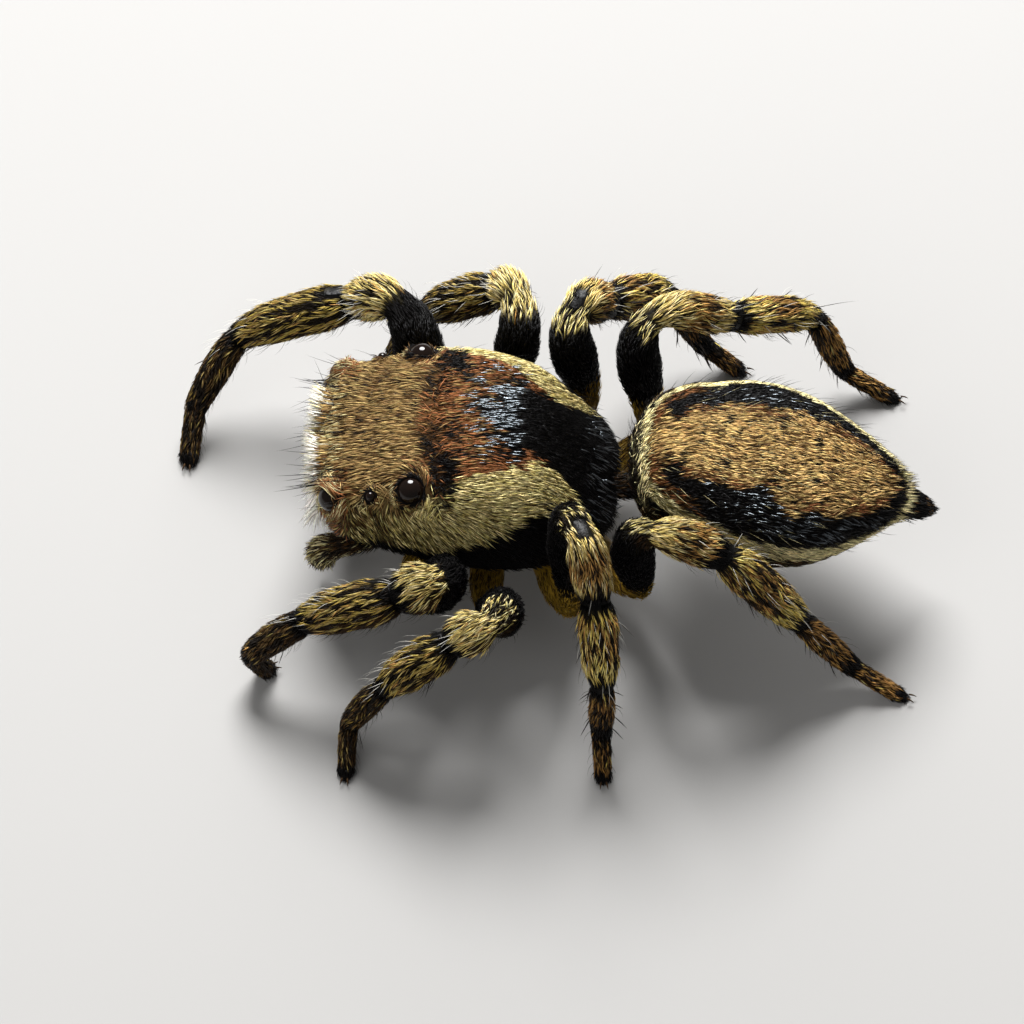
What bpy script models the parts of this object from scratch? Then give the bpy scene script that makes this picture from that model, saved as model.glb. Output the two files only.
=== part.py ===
"""A jumping spider at life size, standing on eight flat-tipped feet, head toward -Y.

Every length below is in millimetres and is turned into metres once, where a mesh is made.
The left side of the animal is +X. A body row is one cross-section on the long axis.
"""

import bmesh
import bpy
import numpy as np
from mathutils import Vector

MM = 0.001
GAP = 0.03
UP = Vector((0, 0, 1))
SIDES = {"left": 1, "right": -1}
MODEL = "woodland_jumping_spider"

# Body rows: y, half width, level of the widest point, top, bottom, squareness (2 is an ellipse).
CARAPACE = (
    (-1.70, 0.60, 1.22, 1.56, 0.96, 3.4),
    (-1.58, 0.74, 1.20, 1.68, 0.90, 3.6),
    (-1.20, 0.87, 1.14, 1.84, 0.82, 3.6),
    (-0.84, 0.95, 1.10, 1.95, 0.79, 3.4),
    (-0.20, 1.03, 1.02, 1.99, 0.77, 2.8),
    (0.25, 0.99, 0.98, 1.82, 0.77, 2.4),
    (0.60, 0.84, 0.96, 1.48, 0.79, 2.2),
    (0.85, 0.62, 0.95, 1.17, 0.81, 2.1),
    (0.97, 0.40, 0.93, 1.02, 0.84, 2.0),
)
ABDOMEN = (
    (1.08, 0.22, 1.40, 1.58, 1.22, 2.0),
    (1.20, 0.50, 1.38, 1.78, 0.98, 2.0),
    (1.50, 0.77, 1.34, 1.91, 0.80, 2.1),
    (1.80, 0.87, 1.29, 1.90, 0.71, 2.1),
    (2.26, 0.92, 1.24, 1.88, 0.65, 2.1),
    (2.70, 0.84, 1.17, 1.75, 0.63, 2.1),
    (3.07, 0.63, 1.12, 1.58, 0.70, 2.1),
    (3.34, 0.40, 1.08, 1.40, 0.78, 2.0),
    (3.56, 0.20, 0.98, 1.12, 0.82, 2.0),
)
STERNUM = (
    (-0.74, 0.11, 0.60, 0.73, 0.44, 2.6),
    (-0.52, 0.28, 0.56, 0.73, 0.37, 2.6),
    (0.00, 0.33, 0.54, 0.73, 0.33, 2.6),
    (0.50, 0.27, 0.56, 0.73, 0.36, 2.6),
    (0.84, 0.10, 0.60, 0.73, 0.46, 2.6),
)
MOUTHPARTS = (
    (-1.24, 0.16, 0.55, 0.72, 0.38, 2.6),
    (-1.05, 0.28, 0.55, 0.74, 0.34, 2.6),
    (-0.77, 0.18, 0.58, 0.74, 0.42, 2.6),
)
SPINNERETS = (
    (3.59, 0.18, 0.95, 1.08, 0.83, 2.0),
    (3.70, 0.15, 0.90, 1.02, 0.79, 2.0),
    (3.82, 0.08, 0.86, 0.92, 0.80, 2.0),
)
RINGS_PER_ROW = 3
CARAPACE_SIDES = 28
ABDOMEN_SIDES = 24
SMALL_SIDES = 14

# Eyes: half spacing, y, level, radius. The front middle pair is the largest.
EYES = {
    "eye_front_median": (0.235, -1.58, 1.40, 0.21),
    "eye_front_lateral": (0.67, -1.55, 1.47, 0.125),
    "eye_small": (0.755, -1.20, 1.66, 0.045),
    "eye_rear": (0.725, -0.84, 1.74, 0.13),
}
EYE_SEGMENTS = 16
SMALL_EYE_SEGMENTS = 10
SMALL_EYE = 0.1

# A shape gives (share of the way along, half height, half width) rows of a tube.
CHELICERA_PATH = ((0.19, -1.38, 1.00), (0.19, -1.48, 0.62), (0.16, -1.42, 0.27))
CHELICERA_SHAPE = ((0.0, 0.17, 0.165), (0.4, 0.18, 0.165), (0.85, 0.13, 0.13), (1.0, 0.07, 0.08))
PALP_PATH = (
    (0.26, -1.06, 0.56),
    (0.48, -1.20, 0.60),
    (0.60, -1.42, 0.66),
    (0.60, -1.62, 0.54),
    (0.52, -1.66, 0.22),
)
PALP_SHAPE = (
    (0.0, 0.09, 0.09),
    (0.3, 0.12, 0.11),
    (0.6, 0.14, 0.13),
    (0.85, 0.16, 0.15),
    (1.0, 0.08, 0.08),
)
PEDICEL_PATH = ((0.0, 0.80, 0.93), (0.0, 1.10, 0.95), (0.0, 1.50, 1.14))
PEDICEL_SHAPE = ((0.0, 0.09, 0.12), (1.0, 0.09, 0.12))
PATH_RINGS = 10

# Leg joints from the body out, x counted outward from the middle plane:
# coxa, trochanter end, knee, patella end, tibia end, metatarsus end, tip on the floor.
LEG_JOINTS = {
    ("left", 1): (
        (0.33, -0.62, 0.53), (0.97, -0.82, 0.50), (1.44, -0.54, 1.40), (1.54, -0.89, 1.27),
        (1.60, -1.73, 0.86), (1.68, -2.20, 0.38), (1.60, -2.06, 0.0),
    ),
    ("left", 2): (
        (0.36, -0.15, 0.53), (1.03, -0.15, 0.50), (1.88, -0.04, 1.43), (2.00, -0.38, 1.24),
        (2.24, -0.96, 0.82), (2.32, -1.27, 0.32), (2.69, -1.29, 0.0),
    ),
    ("left", 3): (
        (0.35, 0.30, 0.53), (1.02, 0.58, 0.50), (1.25, 0.70, 2.06), (1.65, 0.88, 1.55),
        (2.16, 0.98, 0.94), (2.28, 0.98, 0.34), (2.57, 1.02, 0.0),
    ),
    ("left", 4): (
        (0.26, 0.68, 0.53), (0.80, 1.14, 0.52), (1.08, 1.34, 1.80), (1.15, 1.98, 1.62),
        (1.25, 2.69, 0.80), (1.35, 3.18, 0.26), (1.49, 3.65, 0.0),
    ),
    ("right", 1): (
        (0.33, -0.62, 0.53), (0.97, -0.82, 0.50), (1.42, -1.12, 1.54), (1.64, -1.53, 1.22),
        (1.48, -2.55, 0.80), (1.03, -2.91, 0.32), (0.60, -2.96, 0.0),
    ),
    ("right", 2): (
        (0.36, -0.15, 0.53), (1.03, -0.15, 0.50), (1.50, -0.05, 1.62), (1.74, -0.22, 1.40),
        (1.79, -0.87, 0.92), (1.71, -1.15, 0.36), (1.42, -1.28, 0.0),
    ),
    ("right", 3): (
        (0.35, 0.30, 0.53), (1.02, 0.60, 0.50), (1.36, 0.50, 1.69), (1.70, 0.76, 1.36),
        (2.16, 1.25, 0.88), (2.02, 1.63, 0.30), (1.95, 1.97, 0.0),
    ),
    ("right", 4): (
        (0.26, 0.68, 0.53), (0.80, 1.14, 0.52), (1.31, 1.18, 1.68), (1.58, 1.89, 1.42),
        (1.99, 2.61, 0.88), (1.85, 2.92, 0.28), (1.74, 3.38, 0.0),
    ),
}
LEG_SHAPES = {
    "coxa": ((0.0, 0.17, 0.17), (0.3, 0.20, 0.20), (0.7, 0.18, 0.18), (1.0, 0.13, 0.13)),
    "femur": (
        (0.0, 0.11, 0.11), (0.25, 0.18, 0.16), (0.55, 0.26, 0.235), (0.82, 0.24, 0.21), (1.0, 0.15, 0.16),
    ),
    "patella": ((0.0, 0.15, 0.16), (0.4, 0.23, 0.20), (0.75, 0.23, 0.20), (1.0, 0.17, 0.16)),
    "tibia": ((0.0, 0.17, 0.16), (0.3, 0.23, 0.20), (0.65, 0.22, 0.19), (1.0, 0.14, 0.13)),
    "foot": (
        (0.0, 0.14, 0.13), (0.25, 0.16, 0.15), (0.55, 0.12, 0.12), (0.9, 0.11, 0.11), (1.0, 0.07, 0.08),
    ),
}
LEG_GIRTH = {1: 1.10, 2: 1.0, 3: 1.0, 4: 0.96}
LEG_RINGS = {"coxa": 4, "femur": 7, "patella": 5, "tibia": 6, "foot": 8}
LEG_SIDES = 10
LEG_ARCH = {"coxa": 0.6, "femur": 1.0, "patella": 1.0, "tibia": 0.5, "foot": 0.5}
LIMB_ARCH = 0.8
KNEE_SHARE = 0.8
KNEE_ROOM = 1.5 * GAP

# Flat tapered locks of the pale fringe over the jaws, in rows across the face.
FRINGE_ROWS = ((1.17, 0.50, 11), (1.07, 0.45, 10), (0.99, 0.38, 9))
FRINGE_REACH = (-0.09, -0.25)
FRINGE_FACE = -1.67
FRINGE_TURN = 0.12
FRINGE_STAGGER = 0.014
FRINGE_UNEVEN = 0.15
FRINGE_WAVE = 5
LOCK_WIDTH = 0.055
LOCK_DEPTH = 0.024
LOCK_TAPER = (0.8, 1.0, 0.15)
LOCK_DROOP = 0.12
ROOT = 0.05

# Leg spines in pairs: share of the way along, turn round the leg from the top in degrees.
SPINES = {
    "tibia": ((0.35, 115), (0.35, -115), (0.72, 110), (0.72, -110)),
    "foot": ((0.14, 105), (0.14, -105), (0.42, 100), (0.42, -100)),
}
CROWDED_LEGS = (2, 4)
SPINE_LENGTH = 0.30
SPINE_RADIUS = 0.022
SPINE_TIP = 0.15
SPINE_LEAN = 0.55
SPINE_SIDES = 5

# Locks of the dark fringe under the two front pairs of legs.
UNDER_FRINGE = {"tibia": (7, 0.08, 0.72), "foot": (5, 0.05, 0.42)}
FRINGED_LEGS = (1, 2)
UNDER_LENGTH = 0.24
UNDER_LEAN = 1.7
UNDER_TURN = 16
FLOOR_ROOM = 3 * GAP
TOP = 0.75

# Finishes: colour and roughness.
FINISHES = {
    "lens": ((0.010, 0.009, 0.009, 1), 0.08),
    "black": ((0.016, 0.013, 0.012, 1), 0.60),
    "tan": ((0.50, 0.36, 0.20, 1), 0.70),
    "cream": ((0.72, 0.62, 0.44, 1), 0.70),
    "brown": ((0.20, 0.11, 0.06, 1), 0.45),
    "honey": ((0.62, 0.38, 0.12, 1), 0.40),
}


def clear_scene():
    for obj in list(bpy.data.objects):
        bpy.data.objects.remove(obj)


def new_collection(name):
    made = bpy.data.collections.new(name)
    bpy.context.scene.collection.children.link(made)
    return made


def material(name, finish):
    made = bpy.data.materials.new(name)
    made.use_nodes = True
    shader = made.node_tree.nodes["Principled BSDF"]
    colour, roughness = FINISHES[finish]
    shader.inputs["Base Color"].default_value = colour
    shader.inputs["Roughness"].default_value = roughness
    return made


def add_object(name, rings, finish, home):
    """A closed tube through rings of points, each end closed by a flat face."""
    sides = len(rings[0])
    mesh = bpy.data.meshes.new(name)
    points = [tuple(MM * value for value in point) for ring in rings for point in ring]
    faces = [tuple(range(sides))[::-1]]
    for lower in range(0, sides * (len(rings) - 1), sides):
        for i in range(sides):
            j = (i + 1) % sides
            faces.append((lower + i, lower + j, lower + sides + j, lower + sides + i))
    faces.append(tuple(range(len(points) - sides, len(points))))
    mesh.from_pydata(points, [], faces)
    return place(name, mesh, finish, home)


def place(name, mesh, finish, home):
    shaped = bmesh.new()
    shaped.from_mesh(mesh)
    bmesh.ops.recalc_face_normals(shaped, faces=shaped.faces)
    shaped.to_mesh(mesh)
    shaped.free()
    mesh.shade_smooth()
    mesh.materials.append(material(name, finish))
    obj = bpy.data.objects.new(name, mesh)
    home.objects.link(obj)
    return obj


def smooth_rows(rows, steps):
    """The rows with steps rings to each span, eased so that no row shows as a corner."""
    table = np.array(rows, float)
    slopes = np.gradient(table, table[:, 0], axis=0)
    found = []
    for here, there, slope, next_slope in zip(table, table[1:], slopes, slopes[1:]):
        span = there[0] - here[0]
        for t in np.arange(steps) / steps:
            rise = t * t * (3 - 2 * t)
            leave = t * (1 - t) ** 2 * span
            reach = t * t * (t - 1) * span
            found.append(here + (there - here) * rise + slope * leave + next_slope * reach)
    return found + [table[-1]]


def body_ring(row, sides, grow):
    y, half, middle, top, bottom, power = row
    ring = []
    for angle in np.arange(sides) / sides * 2 * np.pi:
        across, level = np.cos(angle), np.sin(angle)
        reach = (top - middle if level > 0 else middle - bottom) + grow
        x = (half + grow) * np.sign(across) * abs(across) ** (2 / power)
        z = middle + reach * np.sign(level) * abs(level) ** (2 / power)
        ring.append((x, y, z))
    return ring


def body(name, rows, sides, finish, home, grow=0.0):
    """A closed body along y. Grown, it is the room that its neighbours leave for it."""
    rings = [body_ring(row, sides, grow) for row in smooth_rows(rows, RINGS_PER_ROW)]
    if grow:
        rings.insert(0, [(x, y - grow, z) for x, y, z in rings[0]])
        rings.append([(x, y + grow, z) for x, y, z in rings[-1]])
    return add_object(name, rings, finish, home)


def curve_points(path, tangents, count, arch):
    """Points and directions evenly along an eased path through its given points."""
    found = []
    for t in np.linspace(0, len(path) - 1, count):
        k = min(int(t), len(path) - 2)
        s = t - k
        a, b = path[k], path[k + 1]
        reach = (b - a).length * arch
        ta, tb = tangents[k] * reach, tangents[k + 1] * reach
        point = a.lerp(b, s * s * (3 - 2 * s)) + ta * s * (1 - s) ** 2 + tb * s * s * (s - 1)
        slope = (b - a) * 6 * s * (1 - s) + ta * (1 - s) * (1 - 3 * s) + tb * s * (3 * s - 2)
        found.append((t / (len(path) - 1), point, slope.normalized()))
    return found


def bisectors(path):
    """The direction of a path at each of its points."""
    steps = [(b - a).normalized() for a, b in zip(path, path[1:])]
    middle = [(a + b).normalized() for a, b in zip(steps, steps[1:])]
    return [steps[0], *middle, steps[-1]]


def tube_rings(path, tangents, shape, count, girth, arch, across, grow=0.0):
    """Elliptical rings square to the path, carried along it with no twist."""
    share, high, wide = np.array(shape).T
    rings = []
    for t, point, along in curve_points(path, tangents, count, arch):
        across = (across - along * across.dot(along)).normalized()
        upward = along.cross(across)
        height = girth * np.interp(t, share, high) + grow
        width = girth * np.interp(t, share, wide) + grow
        angles = np.arange(LEG_SIDES) / LEG_SIDES * 2 * np.pi
        rings.append([point + across * width * np.cos(a) + upward * height * np.sin(a) for a in angles])
    return rings, across


def lock(name, root, direction, across, length, home):
    """A flat tapered lock that bends toward the floor, its root sunk in what it grows from."""
    middle = root + direction * length / 2
    tip = root + (direction - UP * LOCK_DROOP) * length
    flat = across.cross(direction).normalized()
    across = direction.cross(flat).normalized()
    rings = []
    for centre, size in zip((root - direction * ROOT, middle, tip), LOCK_TAPER):
        wide, deep = across * LOCK_WIDTH * size, flat * LOCK_DEPTH * size
        rings.append([centre + wide, centre + deep, centre - wide, centre - deep])
    return add_object(name, rings, "black", home)


def spine(name, root, direction, home):
    """A slender tapered spine, its root sunk in the leg."""
    side = direction.orthogonal().normalized()
    other = direction.cross(side)
    rings = []
    for centre, size in ((root - direction * ROOT, 1), (root + direction * SPINE_LENGTH, SPINE_TIP)):
        angles = np.arange(SPINE_SIDES) / SPINE_SIDES * 2 * np.pi
        radius = SPINE_RADIUS * size
        rings.append([centre + (side * np.cos(a) + other * np.sin(a)) * radius for a in angles])
    return add_object(name, rings, "black", home)


def largest_surface(shaped):
    """Deletes all but the largest closed surface."""
    left, groups = set(shaped.verts), []
    while left:
        queue, group = [left.pop()], set()
        while queue:
            vert = queue.pop()
            group.add(vert)
            near = {other for edge in vert.link_edges for other in edge.verts} & left
            left -= near
            queue += near
        groups.append(group)
    keep = max(groups, key=len)
    bmesh.ops.delete(shaped, geom=[v for v in shaped.verts if v not in keep], context="VERTS")


def fuse(obj, forms):
    """Joins all the objects of a collection to obj, and removes them."""
    step = obj.modifiers.new("forms", "BOOLEAN")
    step.operation, step.operand_type = "UNION", "COLLECTION"
    step.collection = forms
    step.solver = "EXACT"
    graph = bpy.context.evaluated_depsgraph_get()
    joined = bpy.data.meshes.new_from_object(obj.evaluated_get(graph))
    obj.modifiers.remove(step)
    for form in list(forms.objects):
        bpy.data.objects.remove(form)
    bpy.data.collections.remove(forms)
    shaped = bmesh.new()
    shaped.from_mesh(joined)
    largest_surface(shaped)
    for face in shaped.faces:
        face.material_index = 0
    shaped.to_mesh(obj.data)
    shaped.free()
    obj.data.shade_smooth()


def add_fringe(carapace):
    forms = new_collection("fringe")
    for row, (level, half, count) in enumerate(FRINGE_ROWS):
        for k, x in enumerate(np.linspace(-half, half, count)):
            uneven = 1 + FRINGE_UNEVEN * np.sin(FRINGE_WAVE * k + row)
            reach = Vector((x * FRINGE_TURN, *FRINGE_REACH)) * uneven
            root = Vector((x, FRINGE_FACE + FRINGE_STAGGER * (k % 2), level))
            lock(f"lock_{row}_{k}", root, reach.normalized(), Vector((1, 0, 0)), reach.length, forms)
    fuse(carapace, forms)


def on_leg(rings, share, turn):
    """A point of the leg's surface, the way out of it, and the way along the leg."""
    place = share * (len(rings) - 1)
    k = min(int(place), len(rings) - 2)
    centres = [sum(ring, Vector()) / len(ring) for ring in rings[k : k + 2]]
    centre = centres[0].lerp(centres[1], place - k)
    corner = (TOP + turn / 360) % 1 * LEG_SIDES
    near, far = int(corner) % LEG_SIDES, (int(corner) + 1) % LEG_SIDES
    spots = [ring[near].lerp(ring[far], corner % 1) for ring in rings[k : k + 2]]
    spot = spots[0].lerp(spots[1], place - k)
    return spot, (spot - centre).normalized(), (centres[1] - centres[0]).normalized()


def add_leg_forms(obj, rings, piece, number, sign):
    """Spines on every leg, and a fringe under the first two pairs."""
    forms = new_collection("forms")
    for k, (share, turn) in enumerate(SPINES.get(piece, ())):
        spot, out, along = on_leg(rings, share, turn)
        direction = (out + along * SPINE_LEAN).normalized()
        inward = number in CROWDED_LEGS and direction.x * sign < 0
        if (spot + direction * SPINE_LENGTH).z > FLOOR_ROOM and not inward:
            spine(f"spine_{k}", spot, direction, forms)
    if number in FRINGED_LEGS and piece in UNDER_FRINGE:
        count, first, last = UNDER_FRINGE[piece]
        for k, share in enumerate(np.linspace(first, last, count)):
            spot, out, along = on_leg(rings, share, 180 + (UNDER_TURN if k % 2 else -UNDER_TURN))
            direction = (out + along * UNDER_LEAN).normalized()
            if (spot + direction * UNDER_LENGTH).z > FLOOR_ROOM:
                lock(f"under_{k}", spot, direction, out.cross(along), UNDER_LENGTH, forms)
    if forms.objects:
        fuse(obj, forms)
    else:
        bpy.data.collections.remove(forms)


def cut(obj, cutter):
    step = obj.modifiers.new("room for " + cutter.name, "BOOLEAN")
    step.operation = "DIFFERENCE"
    step.solver = "EXACT"
    step.object = cutter


def ball(name, centre, radius, finish, home):
    shaped = bmesh.new()
    segments = EYE_SEGMENTS if radius > SMALL_EYE else SMALL_EYE_SEGMENTS
    bmesh.ops.create_uvsphere(
        shaped, u_segments=segments, v_segments=segments // 2 + 1, radius=radius * MM
    )
    bmesh.ops.translate(shaped, vec=Vector(centre) * MM, verts=shaped.verts)
    mesh = bpy.data.meshes.new(name)
    shaped.to_mesh(mesh)
    shaped.free()
    return place(name, mesh, finish, home)


def mirrored(points, side):
    return [Vector((x * side, y, z)) for x, y, z in points]


def add_eyes(carapace, home, tools):
    for kind, (spread, y, level, radius) in EYES.items():
        for side, sign in SIDES.items():
            centre = (spread * sign, y, level)
            ball(f"{kind}_{side}", centre, radius, "lens", home)
            cut(carapace, ball(f"socket_{kind}_{side}", centre, radius + GAP, "black", tools))


def add_limb(name, points, shape, finish, home):
    path = [Vector(point) for point in points]
    across = (path[-1] - path[0]).cross(UP)
    if across.length < GAP:
        across = Vector((1, 0, 0))
    rings, _ = tube_rings(path, bisectors(path), shape, PATH_RINGS, 1.0, LIMB_ARCH, across)
    return add_object(name, rings, finish, home)


def flatten_foot(obj):
    """Cuts the tip off level with the floor."""
    shaped = bmesh.new()
    shaped.from_mesh(obj.data)
    geometry = [*shaped.verts, *shaped.edges, *shaped.faces]
    found = bmesh.ops.bisect_plane(
        shaped, geom=geometry, plane_co=(0, 0, 0), plane_no=UP, clear_inner=True
    )
    edges = [item for item in found["geom_cut"] if isinstance(item, bmesh.types.BMEdge)]
    bmesh.ops.edgenet_fill(shaped, edges=edges)
    bmesh.ops.recalc_face_normals(shaped, faces=shaped.faces)
    shaped.to_mesh(obj.data)
    shaped.free()


def add_leg(side, number, home, tools):
    """Five pieces, parted at the joints by thin gaps square to the leg."""
    joints = mirrored(LEG_JOINTS[side, number], SIDES[side])
    tangents = bisectors(joints)
    across = (joints[1] - joints[0]).cross(UP)
    made = {}
    for k, piece in enumerate(LEG_SHAPES):
        last = k + 2 if piece != "foot" else len(joints)
        path = [point.copy() for point in joints[k:last]]
        ends = tangents[k:last]
        path[0] += ends[0] * GAP / 2
        if piece != "foot":
            path[-1] -= ends[-1] * GAP / 2
        measures = LEG_SHAPES[piece], LEG_RINGS[piece], LEG_GIRTH[number], LEG_ARCH[piece], across
        name = f"leg_{side}_{number}_{piece}"
        if piece == "femur":
            longer = [*path[:-1], path[-1] + ends[-1] * GAP * KNEE_SHARE]
            rings, _ = tube_rings(longer, ends, *measures, KNEE_ROOM)
            femur_room = add_object(f"room_{name}", rings, "black", tools)
        rings, across = tube_rings(path, ends, *measures)
        made[piece] = add_object(name, rings, "honey" if piece == "coxa" else "tan", home)
        if piece == "foot":
            flatten_foot(made["foot"])
        add_leg_forms(made[piece], rings, piece, number, SIDES[side])
    cut(made["patella"], femur_room)
    return made


def centre_model():
    """Moves everything so that the model's box is centred on the vertical axis."""
    graph = bpy.context.evaluated_depsgraph_get()
    corners = []
    for obj in bpy.data.objects:
        if not obj.hide_render:
            mesh = obj.evaluated_get(graph).to_mesh()
            spots = np.array([vertex.co for vertex in mesh.vertices])
            corners += [spots.min(axis=0), spots.max(axis=0)]
    middle = (np.min(corners, axis=0) + np.max(corners, axis=0)) / 2
    for obj in bpy.data.objects:
        obj.location = (-middle[0], -middle[1], 0)


def hide_tools(tools):
    for obj in tools.objects:
        obj.hide_render = True
        obj.display_type = "WIRE"


def build():
    clear_scene()
    home, tools = new_collection(MODEL), new_collection("cutters")
    carapace = body("carapace", CARAPACE, CARAPACE_SIDES, "brown", home)
    body("abdomen", ABDOMEN, ABDOMEN_SIDES, "tan", home)
    body("sternum", STERNUM, SMALL_SIDES, "brown", home)
    body("mouthparts", MOUTHPARTS, SMALL_SIDES, "brown", home)
    body("spinnerets", SPINNERETS, SMALL_SIDES, "black", home)
    room = {
        name: body(f"room_{name}", rows, sides, "black", tools, room_gap)
        for name, rows, sides, room_gap in (
            ("carapace", CARAPACE, CARAPACE_SIDES, GAP),
            ("abdomen", ABDOMEN, ABDOMEN_SIDES, 2 * GAP),
            ("sternum", STERNUM, SMALL_SIDES, GAP),
            ("mouthparts", MOUTHPARTS, SMALL_SIDES, GAP),
        )
    }
    pedicel = add_limb("pedicel", PEDICEL_PATH, PEDICEL_SHAPE, "brown", home)
    cut(pedicel, room["carapace"])
    cut(pedicel, room["abdomen"])
    for side, sign in SIDES.items():
        chelicera = add_limb(
            f"chelicera_{side}", mirrored(CHELICERA_PATH, sign), CHELICERA_SHAPE, "brown", home
        )
        cut(chelicera, room["carapace"])
        palp = add_limb(f"palp_{side}", mirrored(PALP_PATH, sign), PALP_SHAPE, "cream", home)
        cut(palp, room["mouthparts"])
        cut(palp, room["carapace"])
        for number in LEG_GIRTH:
            leg = add_leg(side, number, home, tools)
            cut(leg["coxa"], room["sternum"])
            cut(leg["femur"], room["carapace"])
    add_fringe(carapace)
    add_eyes(carapace, home, tools)
    hide_tools(tools)
    centre_model()


build()
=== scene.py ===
"""A jumping spider at life size: skin, coat of scale hairs, bristles, eyes, claws and a plain studio.

Lengths are in millimetres on the animal's own axis, head toward -Y and its left toward +X. They are
turned into metres, and moved to where the frame stands, once, where a mesh is made.
"""

import bpy
import numpy as np
from mathutils import Matrix, Vector


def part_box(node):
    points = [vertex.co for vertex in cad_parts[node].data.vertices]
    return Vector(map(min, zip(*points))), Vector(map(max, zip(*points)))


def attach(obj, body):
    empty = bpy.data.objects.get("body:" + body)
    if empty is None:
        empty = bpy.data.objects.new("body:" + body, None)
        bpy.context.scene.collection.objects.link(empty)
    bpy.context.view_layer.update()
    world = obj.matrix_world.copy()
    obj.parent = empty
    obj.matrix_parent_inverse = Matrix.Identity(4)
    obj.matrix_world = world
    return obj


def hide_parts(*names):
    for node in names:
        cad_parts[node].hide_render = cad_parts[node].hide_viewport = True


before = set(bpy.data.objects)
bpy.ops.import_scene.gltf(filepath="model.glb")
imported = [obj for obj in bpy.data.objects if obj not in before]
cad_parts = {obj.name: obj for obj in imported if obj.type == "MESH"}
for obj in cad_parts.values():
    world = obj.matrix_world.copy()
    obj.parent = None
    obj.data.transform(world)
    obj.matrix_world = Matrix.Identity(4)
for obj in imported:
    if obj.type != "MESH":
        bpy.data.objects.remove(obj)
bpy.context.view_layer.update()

MM = 0.001
UP = np.array((0.0, 0.0, 1.0))
SIDES = {"left": 1, "right": -1}
RNG = np.random.default_rng(7)

# Body rows: y, half width, level of the widest point, top, bottom, squareness (2 is an ellipse).
CARAPACE = (
    (-1.70, 0.60, 1.22, 1.56, 0.96, 3.4),
    (-1.58, 0.74, 1.20, 1.68, 0.90, 3.6),
    (-1.20, 0.87, 1.14, 1.84, 0.82, 3.6),
    (-0.84, 0.95, 1.10, 1.95, 0.79, 3.4),
    (-0.20, 1.03, 1.02, 1.99, 0.77, 2.8),
    (0.25, 0.99, 0.98, 1.82, 0.77, 2.4),
    (0.60, 0.84, 0.96, 1.48, 0.79, 2.2),
    (0.85, 0.62, 0.95, 1.17, 0.81, 2.1),
    (0.97, 0.40, 0.93, 1.02, 0.84, 2.0),
)
ABDOMEN = (
    (1.08, 0.22, 1.40, 1.58, 1.22, 2.0),
    (1.20, 0.50, 1.38, 1.78, 0.98, 2.0),
    (1.50, 0.77, 1.34, 1.91, 0.80, 2.1),
    (1.80, 0.87, 1.29, 1.90, 0.71, 2.1),
    (2.26, 0.92, 1.24, 1.88, 0.65, 2.1),
    (2.70, 0.84, 1.17, 1.75, 0.63, 2.1),
    (3.07, 0.63, 1.12, 1.58, 0.70, 2.1),
    (3.34, 0.40, 1.08, 1.40, 0.78, 2.0),
    (3.56, 0.20, 0.98, 1.12, 0.82, 2.0),
)
STERNUM = (
    (-0.74, 0.11, 0.60, 0.73, 0.44, 2.6),
    (-0.52, 0.28, 0.56, 0.73, 0.37, 2.6),
    (0.00, 0.33, 0.54, 0.73, 0.33, 2.6),
    (0.50, 0.27, 0.56, 0.73, 0.36, 2.6),
    (0.84, 0.10, 0.60, 0.73, 0.46, 2.6),
)
SPINNERETS = (
    (3.40, 0.20, 1.02, 1.18, 0.87, 2.0),
    (3.59, 0.18, 0.95, 1.08, 0.83, 2.0),
    (3.70, 0.15, 0.90, 1.02, 0.79, 2.0),
    (3.82, 0.08, 0.86, 0.92, 0.80, 2.0),
)
MOUTHPARTS = (
    (-1.24, 0.16, 0.55, 0.72, 0.38, 2.6),
    (-1.05, 0.28, 0.55, 0.74, 0.34, 2.6),
    (-0.77, 0.18, 0.58, 0.74, 0.42, 2.6),
)
# Eyes: half spacing, y, level, radius.
EYES = {
    "eye_front_median": (0.235, -1.58, 1.40, 0.21),
    "eye_front_lateral": (0.67, -1.55, 1.47, 0.125),
    "eye_small": (0.755, -1.20, 1.66, 0.045),
    "eye_rear": (0.725, -0.84, 1.74, 0.13),
}
# Which way each eye looks (x counted outward), how high its rim stands and how far the rim flares,
# both in radii.
EYE_RIMS = {
    "eye_front_median": ((0.10, -1.00, 0.04), 0.38, 0.35),
    "eye_front_lateral": ((0.50, -0.85, 0.12), 0.34, 0.40),
    "eye_small": ((0.75, -0.15, 0.65), 0.30, 1.00),
    "eye_rear": ((0.55, 0.05, 0.83), 0.48, 0.60),
}
# The coat starts this far from the centre of each eye, in radii.
EYE_ROOM = {
    "eye_front_median": 1.03, "eye_front_lateral": 1.12, "eye_small": 1.30, "eye_rear": 1.20,
}
CHELICERA_PATH = ((0.19, -1.38, 1.00), (0.19, -1.48, 0.62), (0.16, -1.42, 0.27))
CHELICERA_SHAPE = ((0.0, 0.17, 0.165), (0.4, 0.18, 0.165), (0.85, 0.13, 0.13), (1.0, 0.07, 0.08))
PALP_PATH = (
    (0.26, -1.06, 0.56),
    (0.48, -1.20, 0.60),
    (0.60, -1.42, 0.66),
    (0.60, -1.62, 0.54),
    (0.52, -1.66, 0.22),
)
PALP_SHAPE = (
    (0.0, 0.09, 0.09),
    (0.3, 0.12, 0.11),
    (0.6, 0.14, 0.13),
    (0.85, 0.16, 0.15),
    (1.0, 0.08, 0.08),
)
PEDICEL_PATH = ((0.0, 0.80, 0.93), (0.0, 1.10, 0.95), (0.0, 1.50, 1.14))
PEDICEL_SHAPE = ((0.0, 0.09, 0.12), (1.0, 0.09, 0.12))

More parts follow.
